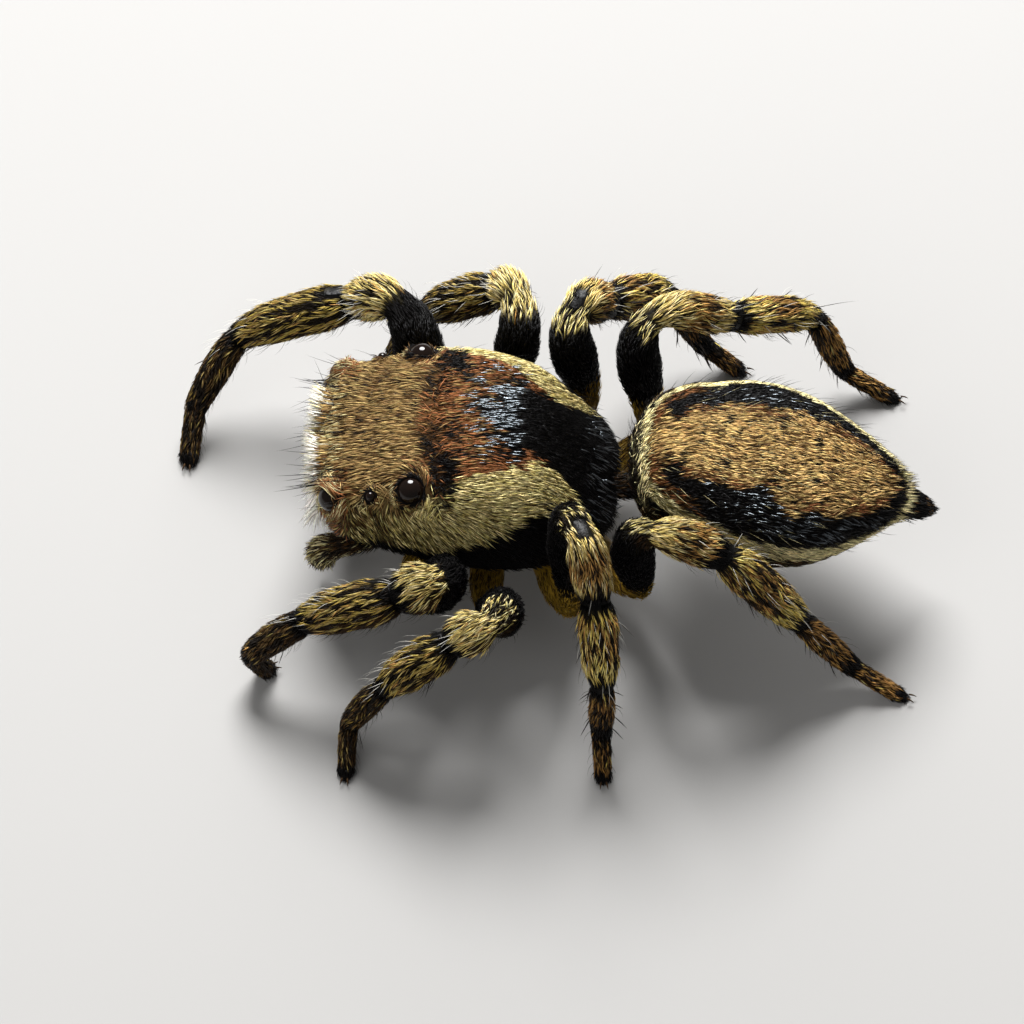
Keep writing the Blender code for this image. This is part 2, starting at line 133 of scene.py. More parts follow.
# Leg joints from the body out, x counted outward: coxa, trochanter end, knee, patella end,
# tibia end, metatarsus end, tip on the floor.
LEG_JOINTS = {
    ("left", 1): (
        (0.33, -0.62, 0.53), (0.97, -0.82, 0.50), (1.44, -0.54, 1.40), (1.54, -0.89, 1.27),
        (1.60, -1.73, 0.86), (1.68, -2.20, 0.38), (1.60, -2.06, 0.0),
    ),
    ("left", 2): (
        (0.36, -0.15, 0.53), (1.03, -0.15, 0.50), (1.88, -0.04, 1.43), (2.00, -0.38, 1.24),
        (2.24, -0.96, 0.82), (2.32, -1.27, 0.32), (2.69, -1.29, 0.0),
    ),
    ("left", 3): (
        (0.35, 0.30, 0.53), (1.02, 0.58, 0.50), (1.25, 0.70, 2.06), (1.65, 0.88, 1.55),
        (2.16, 0.98, 0.94), (2.28, 0.98, 0.34), (2.57, 1.02, 0.0),
    ),
    ("left", 4): (
        (0.26, 0.68, 0.53), (0.80, 1.14, 0.52), (1.08, 1.34, 1.80), (1.15, 1.98, 1.62),
        (1.25, 2.69, 0.80), (1.35, 3.18, 0.26), (1.49, 3.65, 0.0),
    ),
    ("right", 1): (
        (0.33, -0.62, 0.53), (0.97, -0.82, 0.50), (1.42, -1.12, 1.54), (1.64, -1.53, 1.22),
        (1.48, -2.55, 0.80), (1.03, -2.91, 0.32), (0.60, -2.96, 0.0),
    ),
    ("right", 2): (
        (0.36, -0.15, 0.53), (1.03, -0.15, 0.50), (1.50, -0.05, 1.62), (1.74, -0.22, 1.40),
        (1.79, -0.87, 0.92), (1.71, -1.15, 0.36), (1.42, -1.28, 0.0),
    ),
    ("right", 3): (
        (0.35, 0.30, 0.53), (1.02, 0.60, 0.50), (1.36, 0.50, 1.69), (1.70, 0.76, 1.36),
        (2.16, 1.25, 0.88), (2.02, 1.63, 0.30), (1.95, 1.97, 0.0),
    ),
    ("right", 4): (
        (0.26, 0.68, 0.53), (0.80, 1.14, 0.52), (1.31, 1.18, 1.68), (1.58, 1.89, 1.42),
        (1.99, 2.61, 0.88), (1.85, 2.92, 0.28), (1.74, 3.38, 0.0),
    ),
}
LEG_SHAPES = {
    "coxa": ((0.0, 0.17, 0.17), (0.3, 0.20, 0.20), (0.7, 0.18, 0.18), (1.0, 0.13, 0.13)),
    "femur": (
        (0.0, 0.11, 0.11), (0.25, 0.18, 0.16), (0.55, 0.26, 0.235), (0.82, 0.24, 0.21), (1.0, 0.15, 0.16),
    ),
    "patella": ((0.0, 0.15, 0.16), (0.4, 0.23, 0.20), (0.75, 0.23, 0.20), (1.0, 0.17, 0.16)),
    "tibia": ((0.0, 0.17, 0.16), (0.3, 0.23, 0.20), (0.65, 0.22, 0.19), (1.0, 0.14, 0.13)),
    "foot": (
        (0.0, 0.14, 0.13), (0.25, 0.16, 0.15), (0.55, 0.12, 0.12), (0.9, 0.11, 0.11), (1.0, 0.07, 0.08),
    ),
}
PIECES = list(LEG_SHAPES)
LEG_GIRTH = {1: 1.10, 2: 1.0, 3: 1.0, 4: 0.96}
LEG_ARCH = {"coxa": 0.6, "femur": 1.0, "patella": 1.0, "tibia": 0.5, "foot": 0.5}
LEG_RINGS = {"coxa": 10, "femur": 18, "patella": 12, "tibia": 18, "foot": 30}
LIMB_ARCH = 0.8

# The skin lies this far inside the solids, which reach out to the tips of the coat.
BODY_COAT, LEG_COAT, SPINNERET_COAT, BARE = 0.032, 0.038, 0.03, 0.008
# The lowest that a hair and the skin of a foot may lie.
FLOOR_ROOM, SKIN_ROOM = 0.004, 0.02
# How deep in the skin a hair starts.
ROOT_DEPTH = 0.006
# A hair takes the colour of the place that its middle covers, this far along it.
HALF_HAIR = 0.055
# Hairs to the square millimetre.
DENSITIES = {
    "carapace": 3800, "abdomen": 2700, "leg": 2500, "face": 2600, "bristles": 900,
    "eye_front_median": 9000, "eye_front_lateral": 4400, "eye_small": 4400, "eye_rear": 4400,
}

# Length and width of a coat's hairs in mm, and what the pale, the glossy and other ones have more.
HAIRS = {
    "carapace": {
        "plain": (0.105, 0.0086), "crown": (-0.01, -0.0012), "pale": (0.03, 0.0014), "gloss": (0.045, 0.0055),
    },
    "abdomen": {
        "plain": (0.105, 0.0093), "pale": (0.015, 0.0007), "gloss": (0.02, 0.004), "rear": (0.04, 0.0),
    },
    "leg": {"plain": (0.10, 0.0095), "pale": (0.035, 0.0025)},
}
# By what shares single hairs vary.
LENGTHS, WIDTHS, LIFTS = (0.75, 1.25), (0.8, 1.2), (0.5, 1.6)
# The small coats: slot, hairs to the square millimetre, and their length, lift and width.
SMALL_COATS = {
    "sternum": ("cuticle", 700, 0.07, 0.35, 0.012),
    "mouthparts": ("cuticle", 500, 0.06, 0.35, 0.012),
    "spinnerets": ("spinnerets", 2600, 0.08, 0.35, 0.012),
    "pedicel": ("cuticle", 1400, 0.10, 0.5, 0.012),
    "chelicera": ("cuticle", 700, 0.11, 0.5, 0.012),
    "palp": ("palps", 2800, 0.12, 0.45, 0.010),
}
# The share of pale hairs in a small coat, and how much it grows toward the tip.
PALE_SHARES = {
    "sternum": (0.5, 0.0), "mouthparts": (0.4, 0.0), "chelicera": (0.55, 0.0), "palp": (0.08, 0.45),
}

# The sides of a coat start below this rise of the normal. Below a level the first share of their
# hairs is left out, and above it the second.
SIDE_COATS = {"carapace": (0.45, 1.05, 0.7, 0.35), "abdomen": (0.30, 1.0, 0.6, 0.2)}

# Colours of scale hairs and cuticle, linear.
BLACK = np.array((0.004, 0.0035, 0.0035))
SOOT = np.array((0.014, 0.010, 0.007))
BROWN = np.array((0.100, 0.050, 0.016))
TAN = np.array((0.350, 0.222, 0.084))
GOLD = np.array((0.540, 0.380, 0.150))
RUST = np.array((0.270, 0.105, 0.038))
CREAM = np.array((0.740, 0.650, 0.345))
STRAW = np.array((0.500, 0.405, 0.140))
AMBER = np.array((0.380, 0.205, 0.060))
HONEY = np.array((0.280, 0.170, 0.020))
WHITE = np.array((0.850, 0.820, 0.740))
# How the brightness of single hairs varies, and how the balance of their colours does.
BRIGHTNESS, TINTS = (0.54, 1.42), (0.95, 1.05)
# How much darker than its coat the skin is, on the body and on the legs.
BODY_SHADE, LEG_SHADE = 0.30, 0.06

# Tufts: length, width and lift, each a value or the range to draw it from, then droop, colour, rings,
# how bright the root is painted, as shade within the coat, and, for the claws, how round they are.
TUFTS = {
    "fringe": ((0.20, 0.34), (0.010, 0.015), (0.5, 1.0), 0.55, [(1.0, WHITE)], 3, 0.8),
    "front_bristles": ((0.28, 0.52), 0.0095, (0.15, 0.65), -0.4, BLACK, 4, 1.0),
    "flank_bristles": ((0.18, 0.34), 0.007, (0.3, 0.9), 0.5, BLACK, 4, 1.0),
    "edge_bristles": ((0.14, 0.28), 0.0075, (0.5, 1.0), 0.5, BLACK, 4, 1.0),
    "waist_bristles": ((0.14, 0.26), 0.0075, (0.2, 0.7), 0.9, BLACK, 4, 1.0),
    "pale_bristles": ((0.15, 0.26), 0.0045, (0.15, 0.4), 0.6, CREAM * 0.55, 3, 1.0),
    "spines": ((0.16, 0.25), (0.012, 0.016), (0.5, 0.8), 0.1, SOOT, 3, 1.0),
    "claw_tuft": ((0.05, 0.10), (0.009, 0.013), (0.2, 0.6), 0.3, BLACK, 2, 0.55),
    "claws": (0.075, 0.020, 0.35, 3.2, BROWN * 0.5, 4, 1.0, 0.8),
}
# Glossy hairs lie level and flat: lift, droop and how round they are.
GLOSS_LIFT, GLOSS_DROOP, GLOSS_ROUND = 0.30, 1.0, 0.10

# The frame stands where the centre of one eye shows.
low, high = (np.array(corner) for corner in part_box("eye_rear_left"))
SHIFT = (low + high) / 2 - np.array(EYES["eye_rear"][:3]) * MM


# Small helpers for arrays of vectors.


def unit(vectors):
    return vectors / np.maximum(np.linalg.norm(vectors, axis=-1, keepdims=True), 1e-12)


def dot(a, b):
    return (a * b).sum(axis=-1, keepdims=True)


def ease(values, start, end):
    """0 before start, 1 after end, smooth between them."""
    t = np.clip((values - start) / (end - start), 0, 1)
    return t * t * (3 - 2 * t)


def between(values, start, end, soft):
    """1 from start to end and 0 outside, with edges as soft as this."""
    return ease(values, start - soft, start + soft) * (1 - ease(values, end - soft, end + soft))


def ripple(spots, size, seed):
    """Smooth uneven values of about -1 to 1 over the body, with features of about this size."""
    draw = np.random.default_rng(seed)
    waves = draw.normal(size=(14, 3)) * 2.2 / size
    return np.sin(spots @ waves.T + draw.uniform(0, 2 * np.pi, 14)).sum(axis=1) / 14**0.5


def profile(values, table):
    """A value that follows (place, value) rows."""
    places, levels = zip(*table)
    return np.interp(values, places, levels)


def ridge(values, width, power=2):
    """1 at zero, and falling away past this width on both sides."""
    return np.exp(-((values / width) ** power))


def facing(v, place):
    """1 where v, the way round a leg, is at this place, and -1 on the opposite side."""
    return np.cos((v - place) * 2 * np.pi)


def paleness(colours):
    """0 for dark colours and 1 for pale ones."""
    return ease(colours.mean(axis=1), 0.02, 0.3)


def varied(value, shares, n):
    """The value times a share for each of n hairs, drawn from this range."""
    return value * RNG.uniform(*shares, n)


def eye_centre(kind, sign):
    """The centre of an eye of this kind, on the left where sign is 1 and on the right where it is -1."""
    spread, y, level, _ = EYES[kind]
    return np.array((spread * sign, y, level))


# Surfaces: grids of points, rings along a body or a leg and points round each ring.


class Surface:
    def __init__(self, rings, key):
        self.points = np.asarray(rings, float)
        self.key = key
        self.along = unit(np.gradient(self.points, axis=0))
        ahead, behind = (np.roll(self.points, step, axis=1) for step in (-1, 1))
        self.around = unit(ahead - behind)
        normal = unit(np.cross(self.along, self.around))
        outward = self.points - self.points.mean(axis=1, keepdims=True)
        self.flipped = (normal * outward).sum() < 0
        self.normal = -normal if self.flipped else normal


class Roots:
    """Spots on a surface with their directions, and u along and v round it."""

    def __init__(self, **arrays):
        self.__dict__.update(arrays)

    def keep(self, chosen):
        return Roots(**{name: values[chosen] for name, values in self.__dict__.items()})

    def __len__(self):
        return len(self.spot)


# Powers of the plastic number's inverse: points stepped by them fill a square evenly.
EVEN_STEPS = (0.7548776662466927, 0.5698402909980532)


def scatter(surface, density):
    """Evenly spread roots, density to the square millimetre, by a sequence that leaves no clumps."""
    p = surface.points
    right = np.roll(p, -1, axis=1)
    area = np.linalg.norm(np.cross(right[1:] - p[:-1], p[1:] - right[:-1]), axis=2) / 2
    count = int(area.sum() * density)
    step = np.arange(count)
    first, second = ((0.5 + step * even) % 1 for even in EVEN_STEPS)
    rows = area.sum(axis=1)
    row_ends = np.cumsum(rows) / rows.sum()
    r = np.searchsorted(row_ends, first).clip(0, len(rows) - 1)
    row_starts = np.concatenate([[0], row_ends[:-1]])
    fr = (first - row_starts[r]) / (row_ends[r] - row_starts[r])
    cells = np.cumsum(area, axis=1) / rows[:, None]
    flat = (cells + np.arange(len(rows))[:, None]).ravel()
    c = (np.searchsorted(flat, r + second * (1 - 1e-9)) - r * cells.shape[1]).clip(0, cells.shape[1] - 1)
    cell_starts = np.concatenate([np.zeros((len(rows), 1)), cells[:, :-1]], axis=1)
    fc = (second - cell_starts[r, c]) / (cells[r, c] - cell_starts[r, c])
    fr, fc = fr[:, None].clip(0, 1), fc[:, None].clip(0, 1)
    d = (c + 1) % p.shape[1]

    def blend(grid):
        lower = grid[r, c] * (1 - fc) + grid[r, d] * fc
        upper = grid[r + 1, c] * (1 - fc) + grid[r + 1, d] * fc
        return lower * (1 - fr) + upper * fr

    return Roots(
        spot=blend(p),
        normal=unit(blend(surface.normal)),
        along=unit(blend(surface.along)),
        key=blend(surface.key) if surface.key.ndim == 3 else surface.key[r],
        u=(r + fr[:, 0]) / (p.shape[0] - 1),
        v=(c + fc[:, 0]) / p.shape[1],
    )


def smooth_rows(rows, steps):
    """The rows with steps rings to each span, eased so that no row shows as a corner."""
    table = np.array(rows, float)
    slopes = np.gradient(table, table[:, 0], axis=0)
    found = []
    for here, there, slope, next_slope in zip(table, table[1:], slopes, slopes[1:]):
        span = there[0] - here[0]
        for t in np.arange(steps) / steps:
            rise = t * t * (3 - 2 * t)
            leave = t * (1 - t) ** 2 * span
            reach = t * t * (t - 1) * span
            found.append(here + (there - here) * rise + slope * leave + next_slope * reach)
    return np.array(found + [table[-1]])


# A key never reaches the number of the next piece, nor that of a sixth one.
PIECE_END, LAST_KEY = 0.9999, 4.999
# How the rings that close a body and a limb shrink toward a point.
BODY_CAPS = (0.985, 0.94, 0.86, 0.74, 0.6, 0.44, 0.28, 0.12, 0.01)
LIMB_CAPS = (0.85, 0.55, 0.02)


def body_surface(rows, inset, steps=6, sides=96, bulge=0.02):
    """A body lofted along y, inset from the solid, its ends closed by rings that shrink to a point."""
    table = smooth_rows(rows, steps)
    table[0, 0] += inset
    table[-1, 0] -= inset
    angles = np.arange(sides) / sides * 2 * np.pi
    across, level = np.cos(angles), np.sin(angles)
    rings = []
    for y, half, middle, top, bottom, power in table:
        reach = np.where(level > 0, top - middle, middle - bottom) - inset
        x = (half - inset) * np.sign(across) * abs(across) ** (2 / power)
        z = middle + reach * np.sign(level) * abs(level) ** (2 / power)
        rings.append(np.stack([x, np.full(sides, y), z], axis=1))
    ends = []
    for ring, outward in ((rings[0], -1), (rings[-1], 1)):
        centre = ring.mean(axis=0)
        caps = []
        for size in BODY_CAPS:
            push = np.array((0, outward * bulge * (1 - size**2) ** 0.5, 0))
            caps.append(centre + (ring - centre) * size + push)
        ends.append(caps)
    rings = ends[0][::-1] + rings + ends[1]
    return Surface(rings, np.zeros((len(rings), 1)))


def collar_surface(kind, sign):
    """The raised rim round an eye, from inside the lens out to under the skin."""
    radius = EYES[kind][3]
    axis, height, flare = EYE_RIMS[kind]
    axis = unit(np.array(axis) * (sign, 1, 1))
    first = unit(np.cross(axis, UP))
    second = np.cross(axis, first)
    lip = (1 - height**2) ** 0.5
    rows = (
        (lip - 0.06, height - 0.12),
        (lip + 0.00, height),
        (lip + 0.06, height + 0.05),
        (lip + 0.13, height + 0.03),
        (lip + 0.13 + 0.30 * flare, height - 0.20),
        (lip + 0.13 + 0.65 * flare, height - 0.62),
        (lip + 0.13 + flare, height - 1.25),
    )
    angles = (np.arange(40) / 40 * 2 * np.pi)[:, None]
    ring = first * np.cos(angles) + second * np.sin(angles)
    centre = eye_centre(kind, sign)
    rings = [centre + (ring * wide + axis * tall) * radius for wide, tall in rows]
    return Surface(rings, np.zeros((len(rings), 1)))


def bisectors(path):
    """The direction of a path at each of its points."""
    steps = unit(np.diff(path, axis=0))
    middle = unit(steps[:-1] + steps[1:])
    return np.concatenate([steps[:1], middle, steps[-1:]])


def tube_rings(path, tangents, shape, count, girth, arch, across, inset, sides):
    """Elliptical rings square to an eased path, carried along it with no twist."""
    share, tall, wide = np.array(shape).T
    angles = np.arange(sides) / sides * 2 * np.pi
    rings, shares = [], []
    for t in np.linspace(0, len(path) - 1, count):
        k = min(int(t), len(path) - 2)
        s = t - k
        a, b = path[k], path[k + 1]
        reach = np.linalg.norm(b - a) * arch
        ta, tb = tangents[k] * reach, tangents[k + 1] * reach
        point = a + (b - a) * s * s * (3 - 2 * s) + ta * s * (1 - s) ** 2 + tb * s * s * (s - 1)
        slope = (b - a) * 6 * s * (1 - s) + ta * (1 - s) * (1 - 3 * s) + tb * s * (3 * s - 2)
        along = unit(slope)
        across = unit(across - along * dot(across, along))
        upward = np.cross(along, across)
        part = t / (len(path) - 1)
        height = girth * np.interp(part, share, tall) - inset
        width = girth * np.interp(part, share, wide) - inset
        rings.append(
            point + across * width * np.cos(angles)[:, None] + upward * height * np.sin(angles)[:, None]
        )
        shares.append(part)
    return rings, shares, across


def closed_ends(rings, shares):
    """Adds rings that shrink to a point at both ends of a tube."""
    start, end = ([ring.mean(axis=0) + (ring - ring.mean(axis=0)) * size for size in LIMB_CAPS]
                  for ring in (rings[0], rings[-1]))
    caps = len(LIMB_CAPS)
    return start[::-1] + list(rings) + end, [shares[0]] * caps + list(shares) + [shares[-1]] * caps


def limb_surface(points, sign, shape, inset, sides=28, count=40):
    """A jaw, a palp or the waist, in one piece."""
    path = np.array(points) * (sign, 1, 1)
    across = np.cross(path[-1] - path[0], UP)
    # A limb that hangs straight down has no side of its own.
    if np.linalg.norm(across) < 0.03:
        across = np.array((1.0, 0, 0))
    rings, shares, _ = tube_rings(
        path, bisectors(path), shape, count, 1.0, LIMB_ARCH, across, inset, sides
    )
    rings, shares = closed_ends(rings, shares)
    return Surface(rings, np.array(shares)[:, None])


def leg_surface(side, number, inset, sides=28):
    """One unbroken leg. Its key counts pieces: 1.5 is the middle of the second piece, the femur."""
    joints = np.array(LEG_JOINTS[side, number]) * (SIDES[side], 1, 1)
    tangents = bisectors(joints)
    across = np.cross(joints[1] - joints[0], UP)
    rings, keys = [], []
    for k, piece in enumerate(PIECES):
        last = k + 2 if piece != "foot" else len(joints)
        made, shares, across = tube_rings(
            joints[k:last], tangents[k:last], LEG_SHAPES[piece], LEG_RINGS[piece],
            LEG_GIRTH[number], LEG_ARCH[piece], across, inset, sides,
        )
        skip = 1 if k else 0
        rings += made[skip:]
        keys += [k + share * PIECE_END for share in shares[skip:]]
    rings, keys = closed_ends(rings, keys)
    rings = [np.concatenate([r[:, :2], np.maximum(r[:, 2:], SKIN_ROOM)], axis=1) for r in rings]
    return Surface(rings, np.array(keys)[:, None])


# Meshes.


def place_points(points):
    """From mm on the animal's axis to metres where the frame stands."""
    return (points * MM + SHIFT).astype(np.float32)


def new_mesh(name, points, faces, colours, material, uv=None, flat=False):
    """A mesh from arrays. Faces are all triangles or all quads; uv has a row for each point."""
    corners = faces.shape[1]
    mesh = bpy.data.meshes.new(name)
    mesh.vertices.add(len(points))
    mesh.vertices.foreach_set("co", place_points(points).ravel())
    mesh.loops.add(faces.size)
    mesh.loops.foreach_set("vertex_index", faces.ravel().astype(np.int32))
    mesh.polygons.add(len(faces))
    mesh.polygons.foreach_set("loop_start", np.arange(0, faces.size, corners, dtype=np.int32))
    mesh.update(calc_edges=True)
    if not flat:
        mesh.shade_smooth()
    tint = mesh.color_attributes.new("tint", "FLOAT_COLOR", "POINT")
    rgba = np.concatenate([colours, np.ones((len(colours), 1))], axis=1)
    tint.data.foreach_set("color", rgba.astype(np.float32).ravel())
    if uv is not None:
        layer = mesh.uv_layers.new(name="OFBake")
        layer.uv.foreach_set("vector", uv[faces.ravel()].astype(np.float32).ravel())
    mesh.materials.append(material)
    obj = bpy.data.objects.new(name, mesh)
    bpy.context.scene.collection.objects.link(obj)
    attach(obj, "root")
    return obj


# How wide a blade is at each of its rings, from the root on.
BLADE_TAPER = {2: (0.75, 1.0), 3: (0.7, 1.0, 0.75), 4: (1.0, 0.85, 0.65, 0.4)}


def drawn(value, n):
    """A column of n values. A pair is a range in which each is drawn."""
    if isinstance(value, tuple):
        value = RNG.uniform(*value, n)
    return np.broadcast_to(value, n)[:, None]


class Mane:
    """Collects tapered three-sided blades for one piece of coat, each with its own patch of the map."""

    # The size of a blade's patch of the map, and the map's empty edge.
    PATCH, EDGE = 0.003, 0.01

    def __init__(self, name, slot, surfaces=1):
        self.name, self.slot = name, slot
        self.surfaces, self.done = surfaces, 0
        self.points, self.faces, self.colours, self.uv = [], [], [], []
        self.total = 0

    def next_surface(self):
        """Blades added from now on take the next strip of the map."""
        self.done += 1

    def add(self, roots, lie, length, width, lift, droop, colour, rings=2, fade=0.55, round_=0.5):
        """Blades that start along lie, lifted off the skin by lift radians, and sink back by droop.

        A size may be a pair, the range to draw it from, and the colour a list of layers.
        """
        n = len(roots)
        if not n:
            return
        lie = unit(lie - roots.normal * dot(lie, roots.normal))
        side = unit(np.cross(roots.normal, lie))
        length, width, lift, droop = (drawn(value, n) for value in (length, width, lift, droop))
        colour = coat_colours(colour, n) if isinstance(colour, list) else np.broadcast_to(colour, (n, 3))
        centre = roots.spot - roots.normal * ROOT_DEPTH
        taper = BLADE_TAPER[rings]
        points, shades, patch = [], [], []
        for k in range(rings + 1):
            angle = lift * (1 - droop * k / rings)
            heading = lie * np.cos(angle) + roots.normal * np.sin(angle)
            if k:
                centre = centre + heading * length / rings
            # Painted shade: each blade is darker toward its root, as shade within the coat, full bright from
            # partway along.
            shade = fade + (1 - fade) * min(1, 1.6 * k / rings)
            if k == rings:
                points.append(centre)
                shades.append(colour * shade)
                patch.append((0.0, 1.0))
                continue
            rise = np.cross(heading, side) * width * taper[k] * round_
            flat = side * width * taper[k] / 2
            for corner, place in ((centre + flat, 1.0), (centre + rise, 0.0), (centre - flat, -1.0)):
                points.append(corner)
                shades.append(colour * shade)
                patch.append((place, 2 * k / rings - 1))
        per = len(points)
        block = np.stack(points, axis=1)
        block[:, :, 2] = np.maximum(block[:, :, 2], FLOOR_ROOM)
        template = [(0, 2, 1)]
        for k in range(rings - 1):
            for i in range(3):
                j = (i + 1) % 3
                a, b, c, d = 3 * k + i, 3 * k + j, 3 * k + 3 + j, 3 * k + 3 + i
                template += [(a, b, c), (a, c, d)]
        last = 3 * (rings - 1)
        template += [(last + i, last + (i + 1) % 3, last + 3) for i in range(3)]
        faces = np.array(template)[None] + (np.arange(n) * per)[:, None, None] + self.total
        half = self.PATCH / 2
        u = (self.done + 2 * self.EDGE + (1 - 4 * self.EDGE) * roots.v) / self.surfaces
        spread = np.array(patch) * half
        spots = np.stack([u, self.EDGE + (1 - 2 * self.EDGE) * roots.u], axis=1)[:, None, :] + spread[None]
        self.points.append(block.reshape(-1, 3))
        self.faces.append(faces.reshape(-1, 3))
        self.colours.append(np.stack(shades, axis=1).reshape(-1, 3))
        self.uv.append(spots.reshape(-1, 2))
        self.total += n * per

    def finish(self, material):
        points, faces, colours, uv = map(np.concatenate, (self.points, self.faces, self.colours, self.uv))
        obj = new_mesh(self.name, points, faces, colours, material, uv, flat=material is GLOSSY_COAT)


# Markings: layers of (share of hairs, colour), each over those before it.


def coat_colours(layers, n):
    """Each hair takes one colour, by chance where a layer's edge is soft, and its own brightness."""
    found = np.tile(BLACK, (n, 1))
    for share, colour in layers:
        chosen = RNG.random(n) < share
        found[chosen] = np.broadcast_to(colour, (n, 3))[chosen]
    return found * RNG.uniform(*BRIGHTNESS, (n, 1)) * RNG.uniform(*TINTS, (n, 3))


def skin_colours(layers, n, shade=BODY_SHADE):
    """The skin takes the mean colour of the coat over it, this much darker."""
    found = np.tile(BLACK, (n, 1))
    for share, colour in layers:
        share = np.broadcast_to(share, n).clip(0, 1)[:, None]
        found = found * (1 - share) + colour * shade * share
    return found


def blot(x, y, spot, size):
    """1 at the spot and 0 past its size, a flat-topped oval."""
    return np.exp(-(((x - spot[0]) / size[0]) ** 2 + ((y - spot[1]) / size[1]) ** 2) ** 2)


def halo(x, y, kind, size):
    """A blot about the place of an eye."""
    return blot(x, y, EYES[kind][:2], size)


# Inner edge of the pale side band of the carapace, |x| by y, and its lower edge, z by y.
BAND_INNER = (
    (-1.70, 0.55), (-1.50, 0.70), (-1.20, 0.80), (-0.85, 0.84), (-0.60, 0.78), (-0.44, 0.68),
    (-0.25, 0.66), (-0.05, 0.60), (0.10, 0.51), (0.24, 0.42), (0.44, 0.41), (0.60, 0.48), (0.75, 0.62),
)
BAND_LOWER = (
    (-1.60, 1.10), (-1.20, 1.13), (-0.90, 1.16), (-0.56, 1.23), (-0.30, 1.35), (-0.08, 1.44),
    (0.26, 1.55), (0.42, 1.53), (0.60, 1.38), (0.80, 1.20),
)
# Where the coat parts, y by |x|, ahead of the black patch behind each rear eye.
PARTING = ((0.0, -0.71), (0.22, -0.70), (0.44, -0.66), (0.54, -0.61), (0.70, -0.58))
EYE_PATCH = (0.61, -0.535)
PATCH_SIZE = (0.23, 0.125)
# Behind the eyes the markings sit a little to the animal's right.
BAND_SHIFT = 0.05


def from_parting(p):
    """How far behind the parting a place lies; ahead of it this is below zero."""
    return p[:, 1] - profile(abs(p[:, 0]), PARTING)


def carapace_layers(p, n):
    """The markings of the carapace, at places p with normals n."""
    x, y, z = abs(p[:, 0]), p[:, 1], p[:, 2]
    parted = from_parting(p)
    uneven = 0.03 * ripple(p, 0.10, 1)
    inner = profile(y, BAND_INNER) + uneven
    lower = profile(y, BAND_LOWER) + 1.5 * uneven
    off = abs(p[:, 0] + BAND_SHIFT * ease(y, -0.6, -0.2))
    on_top = ease(inner - off, -0.03, 0.05)
    band = (1 - on_top) * ease(z, lower - 0.08, lower + 0.05) * (1 - ease(y, 0.66, 0.80))
    # Painted shade: the band is darker in front, below the eyes.
    shaded = 1 - ease(y + 0.25 * (z - 1.4), -1.10, -0.75)
    ahead = 1 - ease(parted + uneven, -0.03, 0.04)
    crown = on_top * ahead * ease(z, 1.25, 1.45)
    behind = on_top * (1 - ahead)
    streaked = 0.54 + 0.40 * ripple(p * (1.5, 0.55, 1.0), 0.07, 2)
    rust = behind * (1 - ease(y - 0.45 * x, -0.50, -0.06)) * streaked
    rust_edge = behind * ease(off, inner - 0.14, inner - 0.03) * (1 - ease(y, 0.15, 0.42)) * 0.8
    seam = ridge(parted, 0.06) * on_top
    line = ridge(parted - uneven, 0.046, 4) * on_top * between(x, 0.16, 0.56, 0.04)
    round_rear = halo(x, y, "eye_rear", (0.27, 0.25)) * (1 - halo(x, y, "eye_rear", (0.15, 0.15)))
    round_front = halo(x, y, "eye_front_lateral", (0.20, 0.16))
    front = ease(-n[:, 1], 0.55, 0.85)
    brow = front * ease(z, 1.18, 1.30)
    return [
        # The pale side band.
        (0.95 * band, CREAM * (1.04, 1.0, 0.88)),
        (0.38 * band, STRAW),
        (0.40 * band * (1 - ease(z, 1.25, 1.6)), STRAW * 0.55),
        (0.24 * band, BROWN * 0.7),
        (band * shaded * 0.45, STRAW * 0.45),
        (band * shaded * 0.45, BROWN * 0.8),
        (band * shaded * 0.15, BLACK),
        # The tan crown between the eyes, with dark flecks.
        (crown, TAN * 0.86),
        (crown * (0.34 + 0.14 * ripple(p, 0.35, 4)), GOLD * 0.90),
        (crown * (0.42 + 0.16 * ripple(p, 0.16, 5)), BROWN),
        (crown * ease(ripple(p, 0.040, 6), 0.8, 1.3) * 0.90, BLACK),
        (crown * 0.15, BLACK),
        (crown * 0.40 * ease(-y, 1.48, 1.62), CREAM * 0.85),
        # The rust behind the parting, and round the eyes.
        (seam * 0.85, BROWN),
        (seam * 0.45, RUST),
        (rust, RUST * 1.12),
        (rust * 0.24, TAN),
        (rust * 0.32, BROWN),
        (rust_edge, RUST),
        (round_rear * on_top * 0.45 * ease(y, -0.95, -0.70), RUST),
        (round_front * 0.55, RUST),
        (round_front * 0.35, BROWN * 0.5),
        # The black patches and the line that joins them.
        (blot(x, y, EYE_PATCH, PATCH_SIZE), BLACK),
        (line * 0.85, BLACK),
        # The face.
        (brow, CREAM),
        (brow * 0.35, TAN),
        (front * (1 - ease(z, 1.10, 1.22)), WHITE),
    ]


# The abdomen is rolled a little, its left side down, about this level.
ROLL = np.radians(8)
ROLL_LEVEL = 1.30
# Inner edge of the black band of the abdomen, |x| by y.
DARK_INNER = (
    (1.24, 0.54), (1.34, 0.44), (1.42, 0.33), (1.55, 0.34), (1.64, 0.37), (1.83, 0.39), (2.05, 0.44),
    (2.17, 0.42), (2.33, 0.39), (2.43, 0.46), (2.50, 0.53), (2.63, 0.535), (2.72, 0.455), (2.80, 0.475),
    (2.95, 0.465), (3.10, 0.395), (3.26, 0.305), (3.42, 0.16), (3.47, 0.04),
)
